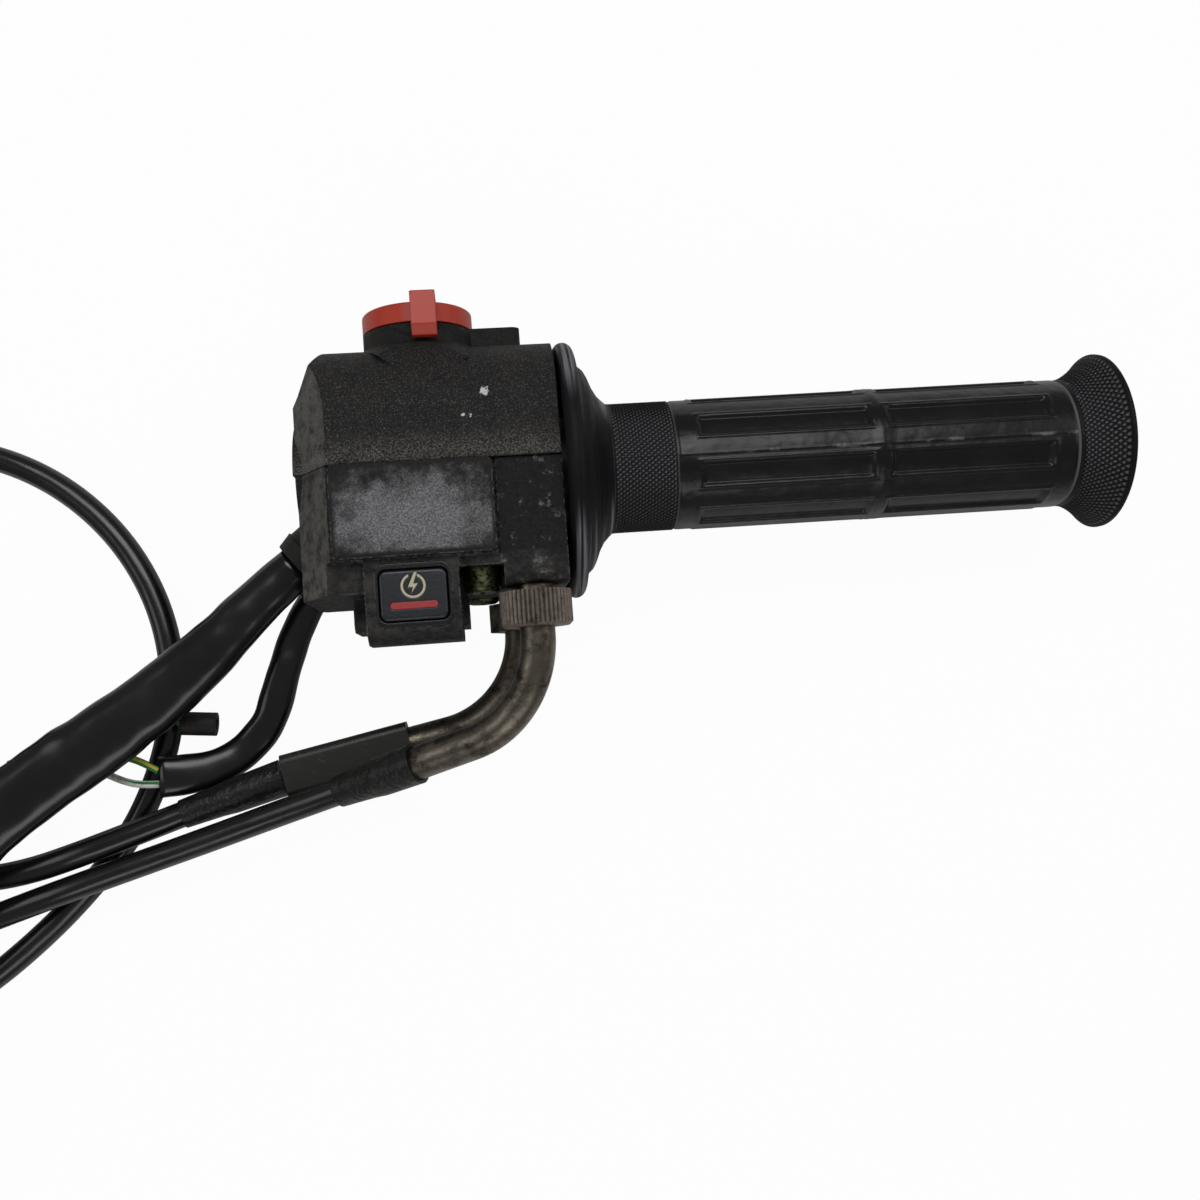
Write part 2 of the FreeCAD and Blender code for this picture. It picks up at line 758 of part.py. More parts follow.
boot_overlap = 4.0
return_boot_start = return_elbow_end - return_way * boot_overlap
return_boot_length = (V(*return_exit) - return_boot_start).Length
shapes["return_boot"] = stepped_sleeve(
    return_boot_start,
    return_way,
    [
        (0, elbow_r + 0.9),
        (return_boot_length * 0.45, elbow_r + 0.7),
        (return_boot_length * 0.6, elbow_r + 0.3),
        (return_boot_length, cable_r + 0.6),
    ],
    elbow_r + 0.05,
    boot_overlap,
)

adjuster_r = 3.6
adjuster_length = 32.0
pull_boot_start = pull_elbow_end + pull_way * (adjuster_length - 1.3)
boot_way = (V(*pull_exit) - pull_boot_start).normalize()
pull_boot_length = (V(*pull_exit) - pull_boot_start).Length
adjuster_end = pull_elbow_end + pull_way * (adjuster_length - 4.0)
adjuster_barrel = join(
    rod(adjuster_r, pull_elbow_end, adjuster_end),
    rod(adjuster_r + 0.9, pull_elbow_end, pull_elbow_end + pull_way * 6),
)
adjuster_bore = rod(1.1, pull_elbow_end - pull_way, adjuster_end + pull_way)
shapes["pull_adjuster"] = adjuster_barrel.cut(adjuster_bore)
lock_at = pull_elbow_end + pull_way * 7.0
shapes["pull_adjuster_locknut"] = ring(adjuster_r + 1.1, adjuster_r, lock_at, lock_at + pull_way * 3.5)


def pull_cover():
    """The flat-sided rubber cover over the pull cable's adjuster, with its pull tab."""
    length = adjuster_length - 2.0
    half = adjuster_r + 1.9
    high = adjuster_r + 1.5
    side = pull_way.cross(Z).normalize()
    corners = rectangle(-half, half, -high, high, 2.0)
    at = pull_elbow_end - pull_way * 1.5
    face = rounded_face([(at + side * a + Z * b, r) for a, b, r in corners])
    body = face.extrude(pull_way * (length + 1.5))
    tab_at = pull_elbow_end + pull_way * 1.0
    tab_face = Part.Face(
        Part.makePolygon(
            [
                tab_at - side * (half - 1),
                tab_at - side * (half + 2.6),
                tab_at - side * (half + 2.6) + pull_way * 5.0,
                tab_at - side * (half - 1) + pull_way * 6.5,
                tab_at - side * (half - 1),
            ]
        )
    )
    tab = tab_face.extrude(Z * 2.4)
    hollow = rod(adjuster_r + 1.15, pull_elbow_end, pull_elbow_end + pull_way * (adjuster_length - 4))
    seat = rod(elbow_r + 0.05, at - pull_way, pull_elbow_end + pull_way * 0.1)
    return cut(join(body, tab), hollow, seat)


shapes["pull_adjuster_cover"] = pull_cover()
shapes["pull_boot"] = stepped_sleeve(
    pull_boot_start,
    boot_way,
    [
        (0, 4.6),
        (pull_boot_length * 0.5, 4.3),
        (pull_boot_length * 0.65, 3.9),
        (pull_boot_length, cable_r + 0.4),
    ],
    0.9,
    0.5,
)

# ---- cables, harness, lead ---------------------------------------------------------------------------

shapes["return_cable"] = cord("return_cable", return_route, cable_r)
shapes["pull_cable_run"] = cord("pull_cable_run", pull_route, cable_r)
shapes["pull_cable_tail"] = cord("pull_cable_tail", pull_tail, cable_r)
coil_low = coil_centre + Z * (floor_z + 0.05)
shapes["pull_cable_coil"] = ring(
    coil_mean_r + 2 * cable_r + 0.05, coil_mean_r - 2 * cable_r - 0.05, coil_low, coil_low + Z * coil_height
)
shapes["harness_run"] = cord("harness_run", harness_route, harness_r)
shapes["brake_lead_run"] = cord("brake_lead_run", lead_route, lead_r)
shapes["brake_lead_white_wire"] = cord("brake_lead_white_wire", white_wire_route, thin_wire_r)
shapes["brake_lead_green_wire"] = cord("brake_lead_green_wire", green_wire_route, thin_wire_r)

ferrule_length = 18.0
ferrule_r = cable_r + 0.7
casing_bore_depth = 6.5
wire_travel = drum_pitch_r * radians(throttle_turn)
closed_protrusion = 3.5


def cable_end(name, casing, at, way, protrusion, buried):
    """A crimped ferrule on a bored casing end, and the wire with its nipple that slides in both."""
    out = at + way * ferrule_length
    ferrule = join(
        rod(ferrule_r, at, at + way * 9), rod(ferrule_r - 1.2, at + way * 9, out)
    ).cut(rod(wire_r + 0.05, at - way, out + way))
    tip = out + way * (protrusion + nipple_r)
    across = way.cross(Z).normalize()
    barrel = rod(nipple_r, tip - across * 2.6, tip + across * 2.6)
    shapes[f"{name}_end_ferrule"] = ferrule
    shapes[f"{name}_wire_end"] = join(rod(wire_r, out - way * buried, tip), barrel)
    shapes[casing] = shapes[casing].cut(rod(wire_r + 0.05, at - way * casing_bore_depth, at + way))


cable_end("pull", "pull_cable_tail", V(*pull_tail[-1]), Y, closed_protrusion + wire_travel, 1.5)
cable_end("return", "return_cable", V(*return_route[-1]), X * -1, closed_protrusion, 1.5 + wire_travel)


def grommet(route, cord_r, rim, length):
    """A rubber grommet where a cord leaves the case, and its cord begins face to face with it."""
    start = V(*route[0])
    way = (V(*route[1]) - start).normalize()
    neck = rod(cord_r + grommet_wall, start - way * length, start - way * (lip_length - 1))
    lip = Part.makeCone(cord_r + rim, cord_r + 0.4, lip_length, start - way * lip_length, way)
    return join(neck, lip)


shapes["harness_grommet"] = grommet(*grommets[0])
shapes["brake_lead_grommet"] = grommet(*grommets[1])


connector_wide = 18.0
connector_high = 13.0
connector_long = 24.0
connector_low = floor_z + 0.1
cavity_places = [(column * 5.6, 4.0 + row * 5.2) for column in (-1, 0, 1) for row in (0, 1)]


def harness_connector():
    """A six-way socket housing with its latch; its blind cavities open at the far end."""
    x, y = harness_route[-1][:2]
    half = connector_wide / 2
    top = connector_low + connector_high
    body = box(x - connector_long, x, y - half, y + half, connector_low, top)
    body = body.makeFillet(0.8, body.Edges)
    body = join(body, box(x - 20, x - 6, y - 3, y + 3, top - 0.5, top + 1.6))
    for side, up in cavity_places:
        at_y = y + side
        at_z = connector_low + up
        body = body.cut(box(x - connector_long - 1, x - 8, at_y - 1.5, at_y + 1.5, at_z - 1.5, at_z + 1.5))
    return body


def connector_terminals():
    x, y = harness_route[-1][:2]
    solids = []
    for side, up in cavity_places:
        at_y = y + side
        at_z = connector_low + up
        outer = box(x - connector_long + 1.5, x - 8, at_y - 1.4, at_y + 1.4, at_z - 1.5, at_z + 1.2)
        inner = box(x - connector_long, x - 12, at_y - 1.0, at_y + 1.0, at_z - 1.0, at_z + 0.8)
        solids.append(outer.cut(inner))
    return group(*solids)


shapes["harness_connector"] = harness_connector()
shapes["harness_connector_terminals"] = connector_terminals()


def bullet_sleeve():
    start = V(*green_wire_route[-1])
    way = V(1, -0.1, 0).normalize()
    end = start + way * 8.5
    return rod(bullet_r, start, end).cut(rod(1.35, end - way * 6.5, end + way))


def bullet_plug():
    start = V(*white_wire_route[-1])
    way = V(-1, 0.13, 0).normalize()
    return join(
        rod(1.5, start, start + way * 5),
        rod(1.15, start + way * 5, start + way * 10),
        Part.makeCone(1.15, 0.6, 1.4, start + way * 10, way),
    )


shapes["brake_lead_bullet_sleeve"] = bullet_sleeve()
shapes["brake_lead_bullet_plug"] = bullet_plug()

# ---- kill switch -------------------------------------------------------------------------------------

knob_top = knob_low + knob_thick
base_top = 22.6
rotor_low = 24.3
rotor_top = 29.6
lever_x = (kill_x - 0.8, kill_x + 4.9)
lever_front = kill_z + knob_r + 4.9


def kill_knob():
    disc = rod(knob_r, kill + Y * knob_low, kill + Y * knob_top)
    rim = disc.Edges[0] if disc.Edges[0].CenterOfMass.y > knob_low + 1 else disc.Edges[2]
    disc = disc.makeFillet(0.6, [rim])
    lever_corners = rectangle(lever_x[0], lever_x[1], kill_z - 6.0, lever_front, 0.7)
    lever = plate_y(lever_corners, knob_top - 1, knob_top + 0.9)
    front = section(
        [
            (knob_top + 0.9, lever_front - 6.8, 0.0),
            (knob_top + 0.9, lever_front, 0.6),
            (knob_low - lever_drop / 2, lever_front, 0.6),
            (knob_low - lever_drop, lever_front - 1.6, 0.4),
            (knob_low - lever_drop, lever_front - 3.4, 0.0),
            (knob_low, lever_front - 3.6, 0.0),
            (knob_low, lever_front - 6.8, 0.0),
        ],
        *lever_x,
    )
    shaft = rod(shaft_r, kill + Y * (rotor_low + 1.4), kill + Y * (knob_low + 1))
    bore = rod(1.25, kill + Y * 20, kill + Y * (knob_low - 0.5))
    return cut(join(disc, lever, front, shaft), bore)


def kill_rotor():
    body = ring(8.6, shaft_r, kill + Y * (rotor_low + 1.4), kill + Y * rotor_top)
    web = ring(8.6, 1.3, kill + Y * rotor_low, kill + Y * (rotor_low + 1.4))
    return join(body, web)


contact_r = 6.2
terminal_places = [kill + X * (way * 3.2) - Z * contact_r for way in (-1, 1)]
ball_r = 1.25
shapes["kill_knob"] = kill_knob()
shapes["kill_rotor"] = kill_rotor()
shapes["kill_rotor_screw"] = join(
    rod(2.4, kill + Y * (rotor_low - 1.2), kill + Y * rotor_low),
    rod(1.25, kill + Y * (rotor_low - 0.2), kill + Y * (rotor_low + 6.5)),
)
shapes["kill_contact"] = box(
    kill_x - 4.5, kill_x + 4.5, rotor_low - 0.8, rotor_low, kill_z - contact_r - 1.4, kill_z - contact_r + 1.8
)


def kill_base():
    body = rod(knob_r - 2.8, kill + Y * kill_floor, kill + Y * base_top)
    for at in terminal_places:
        body = body.cut(rod(1.1, at + Y * (kill_floor - 1), at + Y * (base_top + 1)))
    at = kill + Z * contact_r
    body = body.cut(rod(ball_r + 0.05, at + Y * 17.8, at + Y * 23))
    return body


shapes["kill_base"] = kill_base()
shapes["kill_terminals"] = group(
    *[
        join(
            rod(1.1, at + Y * kill_floor, at + Y * base_top),
            rod(1.5, at + Y * base_top, at + Y * (rotor_low - 0.9)),
        )
        for at in terminal_places
    ]
)
ball_at = kill + Z * contact_r + Y * (rotor_low - 0.05 - ball_r)
shapes["kill_detent_ball"] = Part.makeSphere(ball_r, ball_at)
detent_spring = spring(ball_r - 0.35, 0.22, V(0, 0, 0), ball_at.y - ball_r - 17.8 - 0.05, 4)
detent_spring.rotate(V(0, 0, 0), X, -90)
detent_spring.translate(kill + Z * contact_r + Y * 17.82)
shapes["kill_detent_spring"] = detent_spring

# ---- start switch ------------------------------------------------------------------------------------

base_high = well_floor + 2.4
bridge_low = base_high + 0.7 + button_travel + 0.1
cap_low = 18.2


def start_button():
    cap = start_plate(button_wide / 2, button_high / 2, 1.5, cap_low, button_face)
    rim = [e for e in cap.Edges if abs(e.CenterOfMass.z - button_face) < 1e-6]
    cap = cap.makeFillet(0.7, rim)
    stem = box(start_x - 5.2, start_x + 5.2, start_y - 1.6, start_y + 1.6, bridge_low + 0.8, cap_low + 1)
    hollow = rod(3.9, V(start_x, start_y, cap_low - 2), V(start_x, start_y, cap_low + 2.0))
    core = rod(2.0, V(start_x, start_y, cap_low - 2.6), V(start_x, start_y, cap_low + 3))
    body = join(cap.cut(hollow), core)
    arms = stem.cut(rod(3.9, V(start_x, start_y, cap_low - 5), V(start_x, start_y, cap_low + 2)))
    bar = start_plate(5.2, 0.8, 0.75, button_face - 0.8, 30, bar_y)
    return cut(join(body, arms), bar, start_symbol(button_face - 0.5, 30))


bar_y = start_y - 2.3


def start_symbol(z0, z1):
    """A plain engine-start sign: a ring open at the top, with a bolt in it."""
    at = V(start_x, start_y + 1.9, 0)
    outer = ring(2.75, 2.15, V(at.x, at.y, z0), V(at.x, at.y, z1))
    gap = box(at.x - 0.9, at.x + 0.9, at.y + 1, at.y + 4, z0 - 1, z1 + 1)
    bolt_points = [(0.3, 3.0), (-1.2, -0.3), (-0.1, -0.3), (-0.5, -1.7), (1.1, 0.5), (0.1, 0.5), (1.0, 3.0)]
    bolt = Part.Face(
        Part.makePolygon([V(at.x + x, at.y + y, z0) for x, y in bolt_points + bolt_points[:1]])
    ).extrude(V(0, 0, z1 - z0))
    return Part.Compound([outer.cut(gap), bolt])


shapes["start_button"] = start_button()
shapes["start_bar"] = start_plate(5.2, 0.8, 0.75, button_face - 0.8, button_face - 0.1, bar_y)
shapes["start_symbol"] = start_symbol(button_face - 0.5, button_face - 0.05)
shapes["start_bridge_contacts"] = group(
    *[
        box(start_x + a, start_x + b, start_y - 1.4, start_y + 1.4, bridge_low, bridge_low + 0.8)
        for a, b in ((-5.2, -4.0), (4.0, 5.2))
    ]
)


def start_bezel():
    outer = start_plate(well_x, well_y, 2.2, 14.0, 24.2)
    return outer.cut(start_plate(button_wide / 2 + 0.3, button_high / 2 + 0.3, 1.8, 13, 26))


def start_base():
    body = start_plate(well_x, well_y, 2.2, well_floor, base_high)
    for way in (-1, 1):
        body = body.cut(rod(1.0, V(start_x + way * 4.6, start_y, 0), V(start_x + way * 4.6, start_y, 20)))
    for x, y in start_screw_places:
        body = body.cut(rod(start_screw_r + 0.05, V(x, y, 0), V(x, y, 20)))
    return body


def start_base_screws():
    solids = []
    for x, y in start_screw_places:
        at = V(x, y, base_high)
        solids.append(join(rod(1.9, at, at + Z * 1.2), rod(start_screw_r, at - Z * 4.0, at + Z * 0.1)))
    return group(*solids)


shapes["start_bezel"] = start_bezel()
shapes["start_base"] = start_base()
shapes["start_base_screws"] = start_base_screws()
fixed_contacts = []
for way in (-1, 1):
    seat = V(start_x + way * 4.6, start_y, base_high)
    shank = rod(1.0, seat - Z * (base_high - well_floor), seat)
    fixed_contacts.append(join(shank, rod(1.3, seat, seat + Z * 0.7)))
shapes["start_fixed_contacts"] = group(*fixed_contacts)
shapes["start_spring"] = spring(
    3.0, 0.35, V(start_x, start_y, base_high + 0.02), cap_low + 2.0 - base_high - 0.04, 5
)

os.makedirs("parts", exist_ok=True)
for name, shape in shapes.items():
    if not shape.isValid():
        print("NOT VALID:", name)
    shape.exportStep(f"parts/{name}.step")
print(len(shapes), "nodes")
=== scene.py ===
"""Looks of a motorcycle throttle grip: twist grip, switch housing, elbows, cables and wiring.

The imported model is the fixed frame, in metres. +X runs along the handlebar to the grip's outer end, +Y is up
on the motorcycle, towards the stop switch, and +Z faces the rider. The part lies on its back.
"""

import math

import bpy
import numpy as np
from bpy.props import FloatProperty, FloatVectorProperty, IntProperty, PointerProperty
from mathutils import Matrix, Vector


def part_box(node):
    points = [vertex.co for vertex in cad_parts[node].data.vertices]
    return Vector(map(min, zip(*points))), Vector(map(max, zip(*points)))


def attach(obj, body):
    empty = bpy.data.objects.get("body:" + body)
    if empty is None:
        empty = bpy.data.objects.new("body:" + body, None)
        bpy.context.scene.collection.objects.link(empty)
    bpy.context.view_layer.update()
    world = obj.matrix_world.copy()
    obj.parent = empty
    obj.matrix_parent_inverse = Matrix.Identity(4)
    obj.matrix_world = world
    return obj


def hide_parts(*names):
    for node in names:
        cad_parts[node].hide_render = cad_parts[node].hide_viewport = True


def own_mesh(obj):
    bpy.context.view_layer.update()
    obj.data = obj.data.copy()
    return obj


bl_info = {
    "name": "Motorcycle Throttle Grip",
    "version": (1, 0, 0),
    "blender": (4, 5, 0),
    "location": "View3D > Sidebar > Throttle Grip",
    "description": "Builds the grip rubber, cords, boots, finishes and stage around a packed throttle grip",
    "category": "Object",
}

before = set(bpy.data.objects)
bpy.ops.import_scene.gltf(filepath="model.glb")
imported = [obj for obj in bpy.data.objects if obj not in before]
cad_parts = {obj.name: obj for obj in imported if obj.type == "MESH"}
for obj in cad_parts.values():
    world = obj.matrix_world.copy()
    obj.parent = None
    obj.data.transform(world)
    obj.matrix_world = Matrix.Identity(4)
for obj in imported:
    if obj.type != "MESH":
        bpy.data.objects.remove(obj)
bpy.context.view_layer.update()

MM = 0.001
# the floor is just under the lowest cord
FLOOR_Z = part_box("pull_cable_coil")[0].z - 0.05 * MM
GRIP_END_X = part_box("grip_flare")[1].x
FLANGE_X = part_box("grip_flange")[0].x
FLANGE_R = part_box("grip_flange")[1].y


def linear(hex_colour):
    """An sRGB hex colour as linear red, green, blue and alpha."""
    parts = [int(hex_colour[i : i + 2], 16) / 255 for i in (1, 3, 5)]
    return (*[c / 12.92 if c <= 0.04045 else ((c + 0.055) / 1.055) ** 2.4 for c in parts], 1.0)


def colour_setting(name, description, hex_colour):
    return FloatVectorProperty(
        name=name, description=description, subtype="COLOR", size=4, min=0, max=1, default=linear(hex_colour)
    )


def length_setting(name, description, metres):
    kind = {"subtype": "DISTANCE", "unit": "LENGTH"}
    return FloatProperty(name=name, description=description, default=metres, **kind)


# ---- settings ----------------------------------------------------------------------------------------


class StageSettings(bpy.types.PropertyGroup):
    floor_colour: colour_setting("Floor", "Colour of the studio floor", "#EFEFED")
    key_power: FloatProperty(
        name="Key light", description="Power of the large overhead lamp", unit="POWER", default=2.0
    )
    fill_power: FloatProperty(
        name="Fill light", description="Power of the strongest low side lamp", unit="POWER", default=0.8
    )
    sky_strength: FloatProperty(name="Sky", description="Strength of the light all round", default=0.2)


class CordSettings(bpy.types.PropertyGroup):
    cable_diameter: length_setting("Cable diameter", "Outside diameter of each cable's casing", 0.0063)
    harness_diameter: length_setting("Harness diameter", "Diameter of the harness where it is round", 0.012)
    lead_diameter: length_setting("Lead diameter", "Diameter of the brake-light lead's sleeve", 0.007)
    wire_diameter: length_setting("Wire diameter", "Diameter of each thin wire", 0.0018)
    vinyl: colour_setting("Vinyl", "Black of the vinyl casings and sleeves", "#0E0E10")
    aged_vinyl: colour_setting("Aged vinyl", "Brownish grey where the vinyl is dull", "#24211E")
    white_wire: colour_setting("White wire", "Insulation of the white wire", "#D9DCD0")
    green_wire: colour_setting("Green wire", "Insulation of the green wire", "#1F7A3F")
    yellow_stripe: colour_setting("Yellow stripe", "Tracer of the green wire", "#C9B63A")


class GripSettings(bpy.types.PropertyGroup):
    knurls: IntProperty(name="Knurls", description="Ridges of each family round the grip", default=84)
    knurl_length: length_setting("Knurl length", "Distance between two ridges along the grip", 0.0015)
    knurl_depth: length_setting("Knurl depth", "Height of the ridges over the hollows between", 0.00042)
    panel_depth: length_setting("Panel depth", "Depth of each pressed panel", 0.00075)
    rubber: colour_setting("Rubber", "Black of the grip rubber", "#09090C")
    bloom: colour_setting("Bloom", "Grey bloom on the worn rubber", "#1B1B1F")


class HousingSettings(bpy.types.PropertyGroup):
    paint: colour_setting("Paint", "Black textured paint", "#0F0F11")
    warm_paint: colour_setting("Aged paint", "Brownish tone of the aged paint", "#1A1816")
    dust: colour_setting("Dust", "Road dust in the grain", "#706C66")
    worn: colour_setting("Worn panel", "Grey where the panel's paint is rubbed", "#8C8C8F")
    bare: colour_setting("Bare metal", "Nicks down to the aluminium", "#C9CACC")
    grit: length_setting("Grit", "Size of the paint's grain", 0.00038)


class FittingSettings(bpy.types.PropertyGroup):
    bronzed: colour_setting("Elbow plating", "Dark bronze plating of the elbows", "#6E675C")
    # grime_and_shade is the grime on the fittings, and also the painted shade in the ring nut's grooves
    grime_and_shade: colour_setting("Grime", "Grime on the fittings", "#171310")
    zinc: colour_setting("Zinc", "Olive zinc plating of the screws", "#62634C")
    steel: colour_setting("Steel", "Bare steel wire and springs", "#A9A9A6")
    brass: colour_setting("Brass", "Tinned brass contacts", "#B79A5A")
    boot: colour_setting("Boot rubber", "Black of the boots and grommets", "#131211")


class SwitchSettings(bpy.types.PropertyGroup):
    red: colour_setting("Stop knob", "Orange red of the stop knob", "#B02A08")
    faded_red: colour_setting("Worn knob", "Paler red where the knob is worn", "#BC5036")
    slate: colour_setting("Start button", "Dark slate of the start button", "#11141B")
    surround: colour_setting("Surround", "Gloss black of the button's surround", "#0C0C0E")
    cream: colour_setting("Sign", "Cream fill of the start sign", "#BDB69C")
    bar: colour_setting("Bar", "Red fill of the start bar", "#A02A2C")
    insulator: colour_setting("Insulator", "Brown of the switch bases", "#3A2C20")


# ---- helpers -----------------------------------------------------------------------------------------

STEPS_PER_POINT = 10
CREASE_WAVES = 6


def add_node(tree, kind, links=None, **settings):
    """Adds a node with its settings; links gives each input's value, or the socket that feeds it."""
    node = tree.nodes.new(kind)
    for key, value in settings.items():
        setattr(node, key, value)
    for key, value in (links or {}).items():
        if isinstance(value, bpy.types.NodeSocket):
            tree.links.new(value, node.inputs[key])
        else:
            node.inputs[key].default_value = value
    return node


def start_finish(name, colour, roughness=0.5, metallic=0.0, ior=1.5, specular=0.5):
    """A new material, and what its pattern needs: its nodes, its shader and the place in millimetres."""
    material = bpy.data.materials.new(name)
    material.use_nodes = True
    tree = material.node_tree
    shader = tree.nodes["Principled BSDF"]
    shader.inputs["Base Color"].default_value = colour
    shader.inputs["Roughness"].default_value = roughness
    shader.inputs["Metallic"].default_value = metallic
    shader.inputs["Specular IOR Level"].default_value = specular
    if metallic == 0.0:
        shader.inputs["IOR"].default_value = ior
    place = add_node(tree, "ShaderNodeTexCoord")
    links = {0: place.outputs["Object"], 1: (1 / MM, 1 / MM, 1 / MM)}
    scaled = add_node(tree, "ShaderNodeVectorMath", links, operation="MULTIPLY")
    return material, tree, shader, scaled.outputs[0]


def mask(tree, *parts):
    """The product of its parts: numbers, sockets, or (value, low, high), which is 0 at low and 1 at high."""
    product = 1.0
    for part in parts:
        if isinstance(part, tuple):
            links = dict(zip((0, 1, 2), part))
            part = add_node(tree, "ShaderNodeMapRange", links, interpolation_type="SMOOTHSTEP").outputs[0]
        product = add_node(tree, "ShaderNodeMath", {0: product, 1: part}, operation="MULTIPLY").outputs[0]
    return product


def layer(tree, under, over, *parts):
    """A colour over another, as far as the mask of the parts covers it."""
    return add_node(
        tree, "ShaderNodeMix", {0: mask(tree, *parts), 6: under, 7: over}, data_type="RGBA"
    ).outputs[2]


def pattern(tree, place, size, detail=4.0, roughness=0.6, squeeze=(1, 1, 1)):
    """Cloudy grain whose features are about size millimetres across, squeezed along an axis where asked."""
    stretched = add_node(tree, "ShaderNodeVectorMath", {0: place, 1: squeeze}, operation="MULTIPLY")
    links = {"Vector": stretched.outputs[0], "Scale": 1 / size, "Detail": detail, "Roughness": roughness}
    return add_node(tree, "ShaderNodeTexNoise", links).outputs[0]


def raise_surface(tree, shader, height, depth, under=None):
    """Bumps the surface by depth in metres where height goes from 0 to 1."""
    links = {"Height": height, "Distance": depth, "Strength": 1.0}
    if under is not None:
        links["Normal"] = under
    bump = add_node(tree, "ShaderNodeBump", links)
    tree.links.new(bump.outputs[0], shader.inputs["Normal"])
    return bump.outputs[0]


def paint_nodes(material, *names):
    """Gives carried-over CAD pieces their finish."""
    for name in names:
        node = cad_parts[name]
        node.data.materials.clear()
        node.data.materials.append(material)


def place_piece(piece, body, slot, material, *replaced):
    """Links a finished piece to its body and hides the CAD pieces that it stands for; slot is not used."""
    piece.data.materials.append(material)
    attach(piece, body)
    if replaced:
        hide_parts(*replaced)
    return piece


def new_mesh(name, points, faces):
    """A smooth-shaded mesh piece, linked to the scene."""
    mesh = bpy.data.meshes.new(name)
    mesh.from_pydata([tuple(p) for p in points], [], faces)
    mesh.validate()
    mesh.polygons.foreach_set("use_smooth", [True] * len(mesh.polygons))
    piece = bpy.data.objects.new(name, mesh)
    bpy.context.scene.collection.objects.link(piece)
    return piece


def ring_faces(rings, around, closed_ends=True):
    """Quads between rings of points, with a fan at each end."""
    faces = []
    for i in range(rings - 1):
        for j in range(around):
            k = (j + 1) % around
            faces.append((i * around + j, i * around + k, (i + 1) * around + k, (i + 1) * around + j))
    if closed_ends:
        faces.append(tuple(range(around))[::-1])
        faces.append(tuple(range((rings - 1) * around, rings * around)))
    return faces


def smooth_route(name, route, radius):
    """A round cord along a smooth line that is drawn towards the route's points, in millimetres."""
    curve = bpy.data.curves.new(name, "CURVE")
    curve.dimensions = "3D"
    spline = curve.splines.new("NURBS")
    spline.points.add(len(route) - 1)
    for point, at in zip(spline.points, route):
        point.co = (*[c * MM for c in at], 1.0)
    spline.order_u = 3
    spline.use_endpoint_u = True
    curve.resolution_u = STEPS_PER_POINT
    curve.bevel_depth = radius
    curve.bevel_resolution = 5
    curve.use_fill_caps = True
    piece = bpy.data.objects.new(name, curve)
    bpy.context.scene.collection.objects.link(piece)
    return piece


def route_line(route):
    """Points read from a route's smooth line, in metres."""
    guide = smooth_route("guide", route, 0.0)
    mesh = bpy.data.meshes.new_from_object(guide.evaluated_get(bpy.context.evaluated_depsgraph_get()))
    line = np.array([v.co for v in mesh.vertices], float)
    curve = guide.data
    bpy.data.objects.remove(guide)
    bpy.data.curves.remove(curve)
    bpy.data.meshes.remove(mesh)
    return line


def along(line):
    """Distance along a line of points, in metres."""
    return np.concatenate([[0], np.cumsum(np.linalg.norm(np.diff(line, axis=0), axis=1))])


def sleeve(name, line, profile, seed=0, lump=0.0, around=28, square=2.0):
    """A tube round a line in metres. profile has rows of (distance, width, height) in millimetres.

    lump is how uneven it is, and seed picks its creases. square is 2 for an oval, and more for a box.
    """
    distance = along(line) / MM
    rows = np.array(profile, float)
    half_w = np.interp(distance, rows[:, 0], rows[:, 1]) / 2 * MM
    half_h = np.interp(distance, rows[:, 0], rows[:, 2]) / 2 * MM
    tangent = np.gradient(line, axis=0)
    tangent /= np.linalg.norm(tangent, axis=1)[:, None]
    side = np.cross(tangent, (0, 0, 1))
    side /= np.linalg.norm(side, axis=1)[:, None]
    up = np.cross(side, tangent)
    waves = np.random.default_rng(seed).uniform(0, 2 * math.pi, CREASE_WAVES)
    points = []
    for i, centre in enumerate(line):
        for j in range(around):
            a = 2 * math.pi * j / around
            c, s = math.cos(a), math.sin(a)
            swell = (abs(c) ** square + abs(s) ** square) ** (-1 / square)
            d = distance[i]
            crease = sum(
                math.sin(d * (0.21 + 0.13 * n) + (n % 3) * a + waves[n]) / (1 + 0.4 * n)
                for n in range(CREASE_WAVES)
            )
            swell *= 1 + lump * crease
            points.append(centre + side[i] * half_w[i] * c * swell + up[i] * half_h[i] * s * swell)
    return new_mesh(name, points, ring_faces(len(line), around))


# ---- finishes ----------------------------------------------------------------------------------------
# The numbers after a socket are where its mask is 0 and where it is 1: millimetres on the frame's axes, a
# normal's share, or a pattern's grey. A layer's last number is its strength.

# nicks through the housing's paint: place and radius
NICKS = (((23.9, 14.7, 24.0), 1.3), ((20.6, 9.6, 25.0), 0.5), ((18.9, 9.4, 25.0), 0.4))
# along the grip: where the cone ends, and where the held body begins and ends
CONE_END = 52.4
HELD_FROM = 68.0
HELD_TO = 163.6
SEAM_Y = -0.27
# the way that the thin wires' tracer faces
TRACER_SIDE = (0.1, 0.42, 0.9)
RING_NUT_BROWN = linear("#7A6F65")


